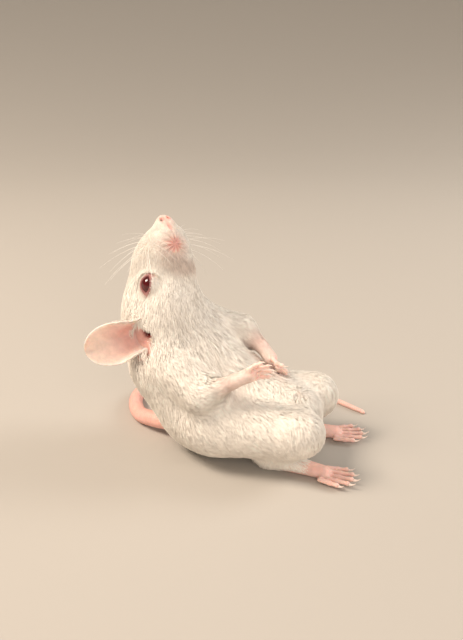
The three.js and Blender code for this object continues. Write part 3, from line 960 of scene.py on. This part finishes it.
# ---------- Geometry Nodes: copies of one shape on many points ----------
def copies_tree(name, shape, finish):
    """Nodes that put a shape on every point, by the points' own turn and size, and the inputs' names."""
    tree = bpy.data.node_groups.new(name, "GeometryNodeTree")
    sockets = {}
    for label, kind in (
        ("Geometry", "NodeSocketGeometry"),
        ("Size", "NodeSocketFloat"),
        ("Variation", "NodeSocketFloat"),
        ("Seed", "NodeSocketInt"),
    ):
        sockets[label] = tree.interface.new_socket(label, in_out="INPUT", socket_type=kind).identifier
    tree.interface.new_socket("Geometry", in_out="OUTPUT", socket_type="NodeSocketGeometry")
    given = add(tree, "NodeGroupInput").outputs
    turn = add(tree, "GeometryNodeInputNamedAttribute", {"Name": "turn"}, data_type="FLOAT_VECTOR")
    size = add(tree, "GeometryNodeInputNamedAttribute", {"Name": "size"}, data_type="FLOAT_VECTOR")
    low = add(tree, "ShaderNodeMath", {0: 1.0, 1: given["Variation"]}, operation="SUBTRACT")
    high = add(tree, "ShaderNodeMath", {0: 1.0, 1: given["Variation"]}, operation="ADD")
    limits = {2: low.outputs[0], 3: high.outputs[0], "Seed": given["Seed"]}
    random = add(tree, "FunctionNodeRandomValue", limits, data_type="FLOAT")
    factor = add(tree, "ShaderNodeMath", {0: random.outputs[1], 1: given["Size"]}, operation="MULTIPLY")
    grown = {0: size.outputs[0], "Scale": factor.outputs[0]}
    scaled = add(tree, "ShaderNodeVectorMath", grown, operation="SCALE")
    template = add(tree, "GeometryNodeObjectInfo", {"Object": shape})
    rotation = add(tree, "FunctionNodeEulerToRotation", {0: turn.outputs[0]})
    copies = add(
        tree,
        "GeometryNodeInstanceOnPoints",
        {
            "Points": given["Geometry"],
            "Instance": template.outputs["Geometry"],
            "Rotation": rotation.outputs[0],
            "Scale": scaled.outputs[0],
        },
    )
    solid = add(tree, "GeometryNodeRealizeInstances", {0: copies.outputs[0]})
    finished = add(tree, "GeometryNodeSetMaterial", {"Geometry": solid.outputs[0], "Material": finish})
    add(tree, "NodeGroupOutput", {0: finished.outputs[0]})
    return tree, sockets


def scatter(name, places, turns, sizes, shape, finish, variation, seed):
    """Copies of a shape on places in mm, each turned by Euler angles and sized by three numbers."""
    points = bpy.data.meshes.new(name)
    points.from_pydata([tuple(p * MM) for p in places], [], [])
    for key, rows in (("turn", turns), ("size", sizes)):
        layer = points.attributes.new(key, "FLOAT_VECTOR", "POINT")
        layer.data.foreach_set("vector", np.asarray(rows, np.float32).ravel())
    carrier = bpy.data.objects.new(name, points)
    bpy.context.scene.collection.objects.link(carrier)

    modifier = carrier.modifiers.new(name, "NODES")
    modifier.node_group, sockets = copies_tree(name, shape, finish)
    modifier[sockets["Size"]] = 1.0
    modifier[sockets["Variation"]] = variation
    modifier[sockets["Seed"]] = seed
    bpy.context.view_layer.update()
    ready = carrier.evaluated_get(bpy.context.evaluated_depsgraph_get())
    mesh = bpy.data.meshes.new_from_object(ready)
    mesh.name = name
    carrier.modifiers.remove(modifier)
    carrier.data = mesh
    for key in ("turn", "size"):
        if key in mesh.attributes:
            mesh.attributes.remove(mesh.attributes[key])
    mesh.shade_smooth()
    bpy.data.objects.remove(shape)
    return carrier


def facing(forward, above):
    """Euler angles that turn +Z to forward and +X as near to above as it goes."""
    z = unit(forward)
    x = across(above, z)
    return Matrix(np.stack([x, np.cross(z, x), z], 1).tolist()).to_euler()


def spine_shape(name, bend, base, tip, rows=9, sides=7):
    """A slim curved cone of length 1 along +Z that bends toward +X, as an object to copy."""
    t = np.linspace(0, 1, rows)
    middle = np.stack([bend * t**2, 0 * t, t * (1 - 0.25 * bend * t)], 1)
    radius = mix(base, tip, t**0.8)
    angle = np.linspace(0, 2 * math.pi, sides, endpoint=False)
    ring = np.stack([np.cos(angle), np.sin(angle), 0 * angle], 1)
    verts, tris = joined_surface(middle[:, None] + radius[:, None, None] * ring[None])
    return mesh_object(name, verts, tris)


# ---------- Settings ----------
class MouseSettings(bpy.types.PropertyGroup):
    """Sizes and colours of the mouse that a user would change."""

    skin_cell: bpy.props.FloatProperty(
        name="Skin Cell",
        description="Size of the skin's faces in millimetres",
        default=0.34,
        min=0.2,
        max=1.0,
    )
    locks: bpy.props.IntProperty(
        name="Locks",
        description="How many locks of hair the coat has",
        default=128000,
        min=1000,
        max=140000,
    )
    lock_width: bpy.props.FloatProperty(
        name="Lock Width",
        description="Width of a lock in millimetres",
        default=0.17,
        min=0.05,
        max=1.0,
    )
    whisker_length: bpy.props.FloatProperty(
        name="Whisker Length",
        description="Length of the longest whisker",
        default=0.0125,
        min=0.002,
        max=0.03,
        unit="LENGTH",
    )
    claw_length: bpy.props.FloatProperty(
        name="Claw Length",
        description="Length of a front claw",
        default=0.0009,
        min=0.0002,
        max=0.003,
        unit="LENGTH",
    )
    eye_colour: bpy.props.FloatVectorProperty(
        name="Eye Colour",
        description="Colour of the eyes, in linear light",
        subtype="COLOR",
        default=tuple(linear("#4c0a10")),
        min=0,
        max=1,
    )
    seed: bpy.props.IntProperty(
        name="Seed", description="Seed of every random draw", default=7, min=0
    )


FLESH_AND_TAIL = FLESH_NAMES + ["ear_right", "ear_left", "tail_base", "tail_middle", "tail_tip"]
SKIN_LOW, SKIN_HIGH = vec(-14.5, -24.5, -0.4), vec(13, 22, 43.2)


def body_skin(cell):
    """The skin of head, body and legs, and its points. Its faces are smaller on the face and hands,
    and smaller still round the eyes, nose and mouth."""
    verts, quads = closed_surface(skin_at, SKIN_LOW, SKIN_HIGH, cell)
    body = mesh_object("skin", settle(skin_at, verts), quads)
    p = mesh_points(body.data)
    q = to_head(p)
    d = dict(zip(FLESH_NAMES, part_distances(p)))
    face = (np.abs(q[:, 2]) < 8) & (q[:, 1] < 1.8)
    finer(body.data, face | (d["forepaw_right"] < 0.4) | (d["forepaw_left"] < 0.4))
    move_points(body.data, settle(skin_at, mesh_points(body.data)))
    marks = face_marks(mesh_points(body.data))
    finer(body.data, (marks["corners"] < 0.8) | (marks["mouth"] < 2.4) | (marks["nose"] < 2.2))
    p = settle(skin_at, mesh_points(body.data))
    move_points(body.data, p)
    return body, p


def bare_piece(name, surface, finish, colours, hairy=0.0):
    """An ear, a lid's rim or the tail, ready to be joined to the skin."""
    verts, faces = surface
    made = mesh_object(name, verts, faces, [finish])
    set_tint(made.data, np.broadcast_to(colours, verts.shape))
    set_share(made.data, "hairy", np.broadcast_to(hairy, len(verts)))
    return made


class MOUSE_OT_skin(bpy.types.Operator):
    """Makes the one skin of the head, body, legs, ears and tail"""

    bl_idname = "mouse.skin"
    bl_label = "Skin"

    def execute(self, context):
        body, p = body_skin(context.scene.mouse.skin_cell * (1))
        finish = material(
            "thin_bare_skin",
            PINK,
            0.5,
            skin_nodes,
            Subsurface_Weight=0.25,
            Subsurface_Radius=(0.9, 0.35, 0.2),
            Subsurface_Scale=0.0012,
            IOR=1.4,
        )
        set_tint(body.data, skin_colour(p))
        set_share(body.data, "hairy", smooth(0.95, 0.5, bareness(p)))
        body.data.materials.append(finish)
        every = [body]
        for side in SIDES:
            rings, places = ear_points(side)
            flat = places.reshape(-1, 3)
            flat = np.concatenate([flat, flat[:1], flat[-1:]])
            every.append(bare_piece("ear", joined_surface(rings), finish, ear_colour(flat), ear_coat(flat)))
            every.append(bare_piece("rim", lid_rim(side), finish, mix(MAUVE, RED_AND_HOLLOW_SHADE, 0.3)))
        verts, tris = joined_surface(tube(*tail_line(260), 20))
        base = np.broadcast_to(TAIL_ROSE, verts.shape)
        colours = tint(base, PINK, smooth(0.5, 1, np.arange(len(verts)) / len(verts)))
        every.append(bare_piece("tail", (verts, tris), finish, colours))
        with context.temp_override(
            active_object=body, object=body, selected_objects=every, selected_editable_objects=every
        ):
            bpy.ops.object.join()
        mesh = body.data
        work = bmesh.new()
        work.from_mesh(mesh)
        bmesh.ops.recalc_face_normals(work, faces=work.faces[:])
        work.to_mesh(mesh)
        work.free()
        mesh.shade_smooth()
        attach(body, "root")
        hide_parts(*FLESH_AND_TAIL)
        return {"FINISHED"}


class MOUSE_OT_eyes(bpy.types.Operator):
    """Makes the two eyeballs"""

    bl_idname = "mouse.eyes"
    bl_label = "Eyes"

    def execute(self, context):
        colour = context.scene.mouse.eye_colour
        finish = material(
            "wet_red_eye",
            colour,
            0.06,
            lambda tree: eye_nodes(tree, colour),
            Coat_Weight=0.4,
            Coat_Roughness=0.03,
        )
        for side in SIDES:
            sign = -1 if side == "right" else 1
            centre = on_head(EYE_AT[0] * sign, EYE_AT[1], EYE_AT[2])
            work = bmesh.new()
            bmesh.ops.create_icosphere(work, subdivisions=5, radius=EYE_RADIUS * MM)
            bmesh.ops.translate(work, verts=work.verts, vec=Vector(centre * MM))
            mesh = bpy.data.meshes.new(f"eyeball_{side}")
            work.to_mesh(mesh)
            work.free()
            mesh.shade_smooth()
            mesh.materials.append(finish)
            made = bpy.data.objects.new(f"eyeball_{side}", mesh)
            context.scene.collection.objects.link(made)
            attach(made, "root")
            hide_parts(f"eye_{side}")
        return {"FINISHED"}


COAT_REGIONS = {  # each with the starts of its parts' names
    "head": ("head", "nose"),
    "neck": ("neck",),
    "trunk": ("trunk",),
    "arms": ("upper_arm", "forearm", "forepaw"),
    "legs": ("thigh", "shank", "hind_foot"),
}
FACE_REGIONS = ("coat_head", "coat_neck")
MOST_LOCKS = 18500  # in one piece of the coat
HEAD_DENSITY, LIMB_DENSITY, EAR_DENSITY = 1.7, 1.35, 0.5  # locks to an area, against the trunk's
MIDDLE = 0.48  # place of a lock's second three-cornered ring along its length
ROOT_DEPTH = 0.06  # how far a lock's root is set into the skin, in mm
LEADERS = 16  # locks to each leading one
DRAWN = 0.28  # how far a lock's tip moves toward its leader's
CLUMP_TONE = 0.04  # spread of brightness from clump to clump
EAR_LOCK, EAR_LOCK_LIFT = 1.1, 0.22  # length in mm, and slope
PATCH = 0.003  # width of a lock's patch on the unwrap

# A lock is a base, two faces above and one below, each of three triangles, that meet in the tip.
LOCK_FACES = [(0, 1, 2)]
for first, second in ((1, 0), (2, 1), (0, 2)):
    LOCK_FACES += [
        (first, second, second + 3),
        (first, second + 3, first + 3),
        (first + 3, second + 3, 6),
    ]
LOCK_CORNERS, FIRST_BELOW = 7, 7

# For each corner: its place across and along the lock, and how much of the skin's colour it takes, which
# darkens the lock toward its root as painted shade.
CORNER_ASIDE = np.array([0, 0.5, 1, 0, 0.5, 1, 0.5]) - 0.5
CORNER_ALONG = np.array([0, 0, 0, MIDDLE, MIDDLE, MIDDLE, 1]) - 0.5
CORNER_ROOT_SHADE = np.array([0.3, 0.3, 0.3, 0.05, 0.05, 0.05, 0.0])


def coat_regions(p):
    """The number of the coat's region that each point belongs to."""
    d = dict(zip(FLESH_NAMES, part_distances(p)))
    nearest = [
        np.min([d[part] for part in d if part.startswith(starts)], axis=0)
        for starts in COAT_REGIONS.values()
    ]
    return np.argmin(nearest, axis=0)


def lie_of_hair(p, normal):
    """The way the hair points, and the length of a lock there: a mean over the nearest parts."""
    d = np.stack(part_distances(p))
    weight = np.exp(-(d - d.min(0)) / 1.1)
    weight /= weight.sum(0)
    flow = sum(w[:, None] * unit(part[4](p)) for w, part in zip(weight, FLESH))
    length = sum(w * part[5] for w, part in zip(weight, FLESH))
    q = to_head(p)
    m, s = folded(q), to_snout(q)
    sign = np.where(q[:, :1] < 0, -1, 1) * vec(1, 0, 0) + vec(0, 1, 1)
    around_eye = (unit(m - EYE_AT) * sign) @ HEAD_TURN.T
    to_eye = lids_gap(m) / mix(0.55, 1.0, smooth(-0.5, -1.8, m[:, 1] - EYE_AT[1]))
    flow = flow + around_eye * (2.4 * smooth(1.6, 0.2, to_eye))[:, None]
    from_mouth = unit(q - vec(*from_snout(*MOUTH))) @ HEAD_TURN.T
    flow = flow + from_mouth * (1.5 * smooth(4.0, 1.5, np.linalg.norm(s - MOUTH, axis=1)))[:, None]
    length = length * mix(0.34, 1, smooth(-10, 3, q[:, 1])) * mix(0.35, 1, smooth(0.15, 1.6, to_eye))
    for side in SIDES:
        root, axis, _, front = ear_frame(side)
        hollow = np.minimum(*ear_bowl(p, side))
        flow = flow + unit(p - root - front * 2.6 - axis * 1.5) * (2.0 * smooth(1.5, 0.2, hollow))[:, None]
        length = length * mix(0.4, 1, smooth(0.1, 1.6, hollow))
    return across(flow, normal), length


def wander(p):
    """A slow drift from -1 to 1 that bends neighbouring locks alike."""
    return np.sin(p @ vec(0.9, 0.5, 0.3)) * 0.5 + np.sin(p @ vec(-0.4, 1.3, 0.8) + 2) * 0.5


def drawn_together(tips, rng):
    """How far each tip moves toward the nearest of a few leading locks, and its clump's brightness."""
    lead = rng.choice(len(tips), len(tips) // LEADERS, replace=False)
    tree = kdtree.KDTree(len(lead))
    for number, index in enumerate(lead):
        tree.insert(tips[index], number)
    tree.balance()
    nearest = np.array([tree.find(tip)[1] for tip in tips])
    shift = tips[lead[nearest]] - tips
    far = np.linalg.norm(shift, axis=1)
    return shift * (DRAWN * smooth(1.0, 0.3, far))[:, None], rng.normal(1, CLUMP_TONE, len(lead))[nearest]


def lock_lines(p, normal, flow, length, height, on_ear):
    """Root, middle and tip of each lock, with the body's normal and the hair's heading at each."""
    centres, normals, flows = [p - normal * ROOT_DEPTH], [normal], [flow]
    previous, before = p, 0.0
    for t in (MIDDLE, 1.0):
        step = (length * (t - before))[:, None]
        guess, n = previous + flows[-1] * step, normal
        if on_ear:
            guess = guess + normal * EAR_LOCK_LIFT * step
        else:
            guess = settle(skin_at, guess, height * (1 - (1 - t) ** 2.6))
            n = unit(slope(skin_at, guess)[1])
        centres.append(guess)
        normals.append(n)
        flows.append(across(flows[-1], n))
        previous, before = guess, t
    return centres, normals, flows


def lock_corners(centres, normals, flows, width, tilt):
    """The seven corners of each lock, and the normal that each shows on the faces above."""
    verts, shown = [], []
    for centre, n, f, part in zip(centres, normals, flows, (0.8, 1.0)):
        side = np.cross(f, n)
        half = (width * part / 2)[:, None]
        verts += [centre + side * half, centre + n * half * 0.6, centre - side * half]
        shown += [unit(n + side * tilt), n, unit(n - side * tilt)]
    return np.stack([*verts, centres[2]], 1), np.stack([*shown, normals[2]], 1)


def lock_mesh(name, spot, finish, settings, rng):
    """One piece of the coat. spot holds each lock's root, normal, place on the unwrap and bareness."""
    p, normal, uv, bare = spot
    count = len(p)
    on_ear = name == "coat_ears"
    if on_ear:
        right = to_head(p)[:, :1] < 0
        flow = across(np.where(right, ear_frame("right")[1], ear_frame("left")[1]), normal)
        length = np.full(count, EAR_LOCK)
    else:
        flow, length = lie_of_hair(p, normal)
    swing = wander(p) * 0.2 + rng.normal(0, 0.09, count)
    flow = across(flow + np.cross(normal, flow) * swing[:, None], normal)
    length = length * rng.uniform(0.75, 1.15, count) * mix(1, 0.5, bare)
    width = settings.lock_width * rng.uniform(0.75, 1.2, count) * np.clip(length / 2.0, 0.5, 1)
    height = np.maximum(-outline_at(p), 0.05) * rng.uniform(0.45, 1.0, count)
    centres, normals, flows = lock_lines(p, normal, flow, length, height, on_ear)
    shift, clump = drawn_together(centres[2], rng)
    centres[2] = centres[2] + shift

    # On the face and throat the locks stand apart more, in shading and in tone.
    tilt, dullest = (0.58, 0.78) if name.startswith(FACE_REGIONS) else (0.32, 0.92)
    verts, above = lock_corners(centres, normals, flows, width, tilt)
    verts[:, :, 2] = np.maximum(verts[:, :, 2], FLOOR_GAP)
    below = -np.stack([normals[0]] * 3 + [normals[1]] * 3 + [normals[2]], 1)
    faces = (np.array(LOCK_FACES) + np.arange(count)[:, None, None] * LOCK_CORNERS).reshape(-1, 3)
    made = mesh_object(name, verts.reshape(-1, 3), faces, [finish])
    under = np.arange(len(faces)) % len(LOCK_FACES) >= FIRST_BELOW
    shown = above.reshape(-1, 3)[faces]
    shown[under] = below.reshape(-1, 3)[faces[under]]
    made.data.normals_split_custom_set(shown.reshape(-1, 3))

    colour = coat_colour(p) * (clump * rng.uniform(dullest, 1.04, count))[:, None]
    # Toward the root a lock takes the skin's darker colour: painted shade low in the coat.
    colours = mix(colour[:, None], skin_colour(p)[:, None], CORNER_ROOT_SHADE[None, :, None])
    set_tint(made.data, np.clip(colours, 0, 1).reshape(-1, 3))

    own = uv[:, None] + PATCH * np.stack([CORNER_ASIDE, CORNER_ALONG], 1)[None]
    layer = made.data.uv_layers.new(name="OFBake")
    layer.data.foreach_set("uv", own.reshape(-1, 2)[faces.ravel()].astype(np.float32).ravel())
    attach(made, "root")
    return made


def unwrap(skin):
    """Gives the skin its OFBake map: an unwrap of its own shape."""
    skin.data.uv_layers.new(name="OFBake")
    context = bpy.context
    for other in context.selected_objects:
        other.select_set(False)
    context.view_layer.objects.active = skin
    skin.select_set(True)
    bpy.ops.object.mode_set(mode="EDIT")
    bpy.ops.mesh.select_all(action="SELECT")
    bpy.ops.uv.smart_project(angle_limit=math.radians(66), island_margin=0.003)
    bpy.ops.object.mode_set(mode="OBJECT")


def triangle_corners(mesh):
    """The vertices, and the loops, of each triangle of a mesh."""
    mesh.calc_loop_triangles()
    found = []
    for kind in ("vertices", "loops"):
        numbers = np.empty(len(mesh.loop_triangles) * 3, np.int32)
        mesh.loop_triangles.foreach_get(kind, numbers)
        found.append(numbers.reshape(-1, 3))
    return found


def lock_roots(mesh, count, rng):
    """Where the locks grow on the skin: root, normal, place on the unwrap and bareness, and the region."""
    corners, loops = triangle_corners(mesh)
    uv = np.empty(len(mesh.loops) * 2, np.float32)
    mesh.uv_layers["OFBake"].data.foreach_get("uv", uv)
    hairy = np.empty(len(mesh.vertices), np.float32)
    mesh.attributes["hairy"].data.foreach_get("value", hairy)
    p = mesh_points(mesh)
    a, b, c = (p[corners[:, k]] for k in range(3))
    middle, normal = (a + b + c) / 3, np.cross(b - a, c - a)
    area = np.linalg.norm(normal, axis=1) / 2
    bare = 1 - hairy[corners].mean(1)

    # The ears stand off the body's own surface, and are thinly covered.
    on_ear = np.abs(skin_at(middle)) > 0.08
    head = smooth(9, 2, to_head(middle)[:, 1])
    regions = list(COAT_REGIONS)
    limbs = np.isin(coat_regions(middle), (regions.index("arms"), regions.index("legs")))
    density = np.where(on_ear, EAR_DENSITY, mix(1, HEAD_DENSITY, head) * np.where(limbs, LIMB_DENSITY, 1))
    weight = area * (1 - bare) * density
    chosen = rng.choice(len(weight), count, p=weight / weight.sum())
    r, s = rng.random((2, count))
    r = np.sqrt(r)
    shares = np.stack([1 - r, r * (1 - s), r * s], 1)[:, :, None]
    roots = (p[corners[chosen]] * shares).sum(1)
    patches = (uv.reshape(-1, 2)[loops[chosen]] * shares).sum(1)

    on_ear = on_ear[chosen][:, None]
    roots = np.where(on_ear, roots, settle(skin_at, roots, 0.0, 1))
    normal = np.where(on_ear, unit(normal[chosen]), unit(slope(skin_at, roots)[1]))
    region = np.where(on_ear[:, 0], len(regions), coat_regions(roots))
    return (roots, normal, patches, bare[chosen]), region


class MOUSE_OT_coat(bpy.types.Operator):
    """Grows the coat of small locks on the skin"""

    bl_idname = "mouse.coat"
    bl_label = "Coat"

    def execute(self, context):
        settings = context.scene.mouse
        rng = np.random.default_rng(settings.seed)
        skin = bpy.data.objects.get("skin")
        if skin is None:
            raise RuntimeError("make the skin before the coat")
        unwrap(skin)
        spot, region = lock_roots(skin.data, settings.locks // (1), rng)
        finish = material(
            "white_mouse_hair",
            WHITE,
            0.55,
            fur_nodes,
            Sheen_Weight=0.3,
            Sheen_Roughness=0.4,
            Sheen_Tint=rgba(WHITE),
        )
        for number, name in enumerate([*COAT_REGIONS, "ears"]):
            own = np.flatnonzero(region == number)
            pieces = max(1, math.ceil(len(own) / MOST_LOCKS))
            for k in range(pieces):
                pick = own[k::pieces]
                if len(pick):
                    label = f"coat_{name}" if pieces == 1 else f"coat_{name}_{k + 1}"
                    lock_mesh(label, [each[pick] for each in spot], finish, settings, rng)
        return {"FINISHED"}


WHISKER_ROWS = (4, 5, 5, 5, 4)  # whiskers in each row on one side, from the top row down
LONE_WHISKERS = ((4.4, -2.4, 2.6), (5.2, 3.4, -3.6))  # over the eye and on the cheek, in the head's frame


class MOUSE_OT_whiskers(bpy.types.Operator):
    """Sets the whiskers in rows on the muzzle and over the eyes"""

    bl_idname = "mouse.whiskers"
    bl_label = "Whiskers"

    def execute(self, context):
        settings = context.scene.mouse
        rng = np.random.default_rng(settings.seed + 1)
        finish = material("whisker_keratin", linear("#fbf7f0"), 0.35)
        places, turns, sizes = [], [], []
        longest = settings.whisker_length / MM

        # The rows lie 0.8 mm apart. Toward the back of a row the whiskers grow longer and lean back.
        for sign in (-1, 1):
            for row, columns in enumerate(WHISKER_ROWS):
                for column in range(columns):
                    back = column / 4
                    place = on_head(*from_snout(sign * 3.2, -9.2 + 3.4 * back, 0.9 - 0.8 * row))
                    place = settle(skin_at, place[None], -0.1, 4)[0]
                    lean = vec(sign * 1.0, -0.2 + 0.5 * back, 1.1 - 0.52 * row)
                    lean = unit(HEAD_TURN @ (unit(lean) + rng.normal(0, 0.09, 3)))
                    sweep = HEAD_TURN @ vec(0, 1, 0.15 * (2 - row))
                    turns.append(tuple(facing(lean, sweep)))
                    length = longest * mix(0.4, 1.0, back) * rng.uniform(0.75, 1.0)
                    places.append(place)
                    sizes.append((length, length, length))
            for out, back, up in LONE_WHISKERS:
                place = settle(skin_at, on_head(sign * out, back, up)[None], -0.1, 4)[0]
                lean = HEAD_TURN @ unit(vec(sign * 0.8, 0.7, 0.15 * up))
                turns.append(tuple(facing(lean, HEAD_TURN @ vec(0, 1, 0))))
                places.append(place)
                sizes.append((longest * 0.45,) * 3)
        shape = spine_shape("whisker", 0.2, 0.0052, 0.0012, rows=13, sides=5)
        made = scatter("whiskers", places, turns, sizes, shape, finish, 0.08, settings.seed)
        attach(made, "root")
        return {"FINISHED"}


class MOUSE_OT_claws(bpy.types.Operator):
    """Puts a claw on every finger and toe"""

    bl_idname = "mouse.claws"
    bl_label = "Claws"

    def execute(self, context):
        settings = context.scene.mouse
        finish = material("claw_horn", linear("#f3ded2"), 0.3, Coat_Weight=0.3, Coat_Roughness=0.2)
        for name, limbs, bones, radius, grown in (
            ("fore_claws", FORELEG, fore_digits, FINGER_RADIUS, 1.0),
            ("hind_claws", HINDLEG, hind_digits, TOE_RADIUS, 1.35),
        ):
            length = settings.claw_length / MM * grown
            places, turns, sizes = [], [], []
            for side in SIDES:
                digit_bones, down = bones(limbs[side])
                for _, middle, tip in digit_bones:
                    heading = unit(tip - middle)
                    places.append(tip + heading * radius * 0.55 - down * radius * 0.25)
                    turns.append(tuple(facing(heading - down * 0.15, down)))
                    sizes.append((length,) * 3)
            shape = spine_shape("claw", 0.5, 0.24, 0.03, rows=8, sides=8)
            made = scatter(name, places, turns, sizes, shape, finish, 0.1, settings.seed + 2)
            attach(made, "root")
        return {"FINISHED"}


class MOUSE_OT_tail_scales(bpy.types.Operator):
    """Lays the rings of fine scales along the tail"""

    bl_idname = "mouse.tail_scales"
    bl_label = "Tail Scales"

    def execute(self, context):
        finish = material("tail_scale", linear("#e9b0a2"), 0.5, tail_nodes)
        points, radius = tail_line(170)
        heading = unit(np.gradient(points, axis=0))
        keep = slice(18, 168)
        turns = [tuple(facing(h, vec(0, 0, 1))) for h in heading[keep]]
        sizes = [(r, r, 1.0) for r in radius[keep]]
        angle = np.linspace(0, 2 * math.pi, 24, endpoint=False)
        around = np.stack([np.cos(angle), np.sin(angle), 0 * angle], 1)
        profile = ((0.97, -0.2), (1.018, 0.02), (0.97, 0.14))
        rings = np.array([around * r + vec(0, 0, z) for r, z in profile])
        verts, tris = joined_surface(rings)
        shape = mesh_object("scale_ring", verts, tris)
        made = scatter("tail_scales", points[keep], turns, sizes, shape, finish, 0.0, 1)
        low = mesh_points(made.data)
        low[:, 2] = np.maximum(low[:, 2], 0.01)
        move_points(made.data, low)
        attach(made, "root")
        return {"FINISHED"}


# ---------- Stage ----------
CAMERA_AT = vec(-126.4734, -33.2136, 75.1317)
CAMERA_AXES = ((0.2588, -0.9659, 0), (0.3461, 0.0928, 0.9336), (-0.9018, -0.2416, 0.3584))
CAMERA_LENS, CAMERA_SENSOR = 45, 36
LIT_POINT = vec(0, 5, 18)


def area_light(name, place, size, power, colour):
    """A soft light that aims at the middle of the mouse."""
    lamp = bpy.data.lights.new(name, "AREA")
    lamp.shape = "RECTANGLE"
    lamp.size, lamp.size_y = (s * MM for s in size)
    lamp.energy = power
    lamp.color = linear(colour)
    made = bpy.data.objects.new(name, lamp)
    made.location = Vector(vec(*place) * MM)
    aim = Vector(LIT_POINT * MM) - made.location
    made.rotation_euler = aim.to_track_quat("-Z", "Y").to_euler()
    bpy.context.scene.collection.objects.link(made)


class MOUSE_OT_stage(bpy.types.Operator):
    """Sets the floor, the lights and the camera"""

    bl_idname = "mouse.stage"
    bl_label = "Stage"

    def execute(self, context):
        flat, bend, top = 280, 700, 1000
        turn = np.linspace(0, math.pi / 2, 20)
        profile = [(0.5, 0.0), (flat, 0.0)]
        profile += [(flat + bend * math.sin(a), bend * (1 - math.cos(a))) for a in turn[1:]]
        profile += [(flat + bend, top)]
        angle = np.linspace(0, 2 * math.pi, 72, endpoint=False)
        rings = np.array([[(r * math.cos(a), r * math.sin(a), z) for a in angle] for r, z in profile])
        quads = lattice_quads(len(profile), len(angle), True)[:, ::-1]
        paper = material("matt_paper", linear("#b6b0a8"), 0.9)
        floor = mesh_object("floor", rings.reshape(-1, 3), quads, [paper])

        area_light("key", (-110, 330, 430), (200, 200), 3.5, "#ffefdd")
        area_light("fill", (-420, -160, 220), (260, 260), 1.0, "#fff4ea")
        area_light("front", (210, -320, 240), (200, 200), 1.0, "#fffaf4")
        world = bpy.data.worlds.new("studio")
        world.use_nodes = True
        world.node_tree.nodes.clear()
        pale = rgba(linear("#efe8df"))
        sky = add(world.node_tree, "ShaderNodeBackground", {"Color": pale, "Strength": 0.56})
        add(world.node_tree, "ShaderNodeOutputWorld", {"Surface": sky.outputs[0]})
        context.scene.world = world
        context.scene.view_settings.view_transform = "Standard"

        camera = bpy.data.cameras.new("camera")
        camera.lens, camera.sensor_width = CAMERA_LENS, CAMERA_SENSOR
        camera.clip_start, camera.clip_end = 0.005, 10
        eye = bpy.data.objects.new("camera", camera)
        turn = Matrix(np.array(CAMERA_AXES).T.tolist()).to_4x4()
        eye.matrix_world = Matrix.Translation(Vector(CAMERA_AT * MM)) @ turn
        context.scene.collection.objects.link(eye)
        context.scene.camera = eye
        return {"FINISHED"}


OPERATORS = (
    MOUSE_OT_skin,
    MOUSE_OT_eyes,
    MOUSE_OT_coat,
    MOUSE_OT_whiskers,
    MOUSE_OT_claws,
    MOUSE_OT_tail_scales,
    MOUSE_OT_stage,
)


class MOUSE_PT_panel(bpy.types.Panel):
    """Lists the mouse's settings and pieces"""

    bl_idname = "MOUSE_PT_panel"
    bl_label = "Mouse"
    bl_space_type = "VIEW_3D"
    bl_region_type = "UI"
    bl_category = "Mouse"

    def draw(self, context):
        for name in MouseSettings.__annotations__:
            self.layout.prop(context.scene.mouse, name)
        for operator in OPERATORS:
            self.layout.operator(operator.bl_idname)


CLASSES = (MouseSettings, *OPERATORS, MOUSE_PT_panel)


def register():
    for each in CLASSES:
        bpy.utils.register_class(each)
    bpy.types.Scene.mouse = bpy.props.PointerProperty(type=MouseSettings)


def unregister():
    del bpy.types.Scene.mouse
    for each in reversed(CLASSES):
        bpy.utils.unregister_class(each)


def main():
    register()
    bpy.ops.mouse.skin()
    bpy.ops.mouse.eyes()
    bpy.ops.mouse.coat()
    bpy.ops.mouse.whiskers()
    bpy.ops.mouse.claws()
    bpy.ops.mouse.tail_scales()
    bpy.ops.mouse.stage()


if __name__ == "__main__":
    main()
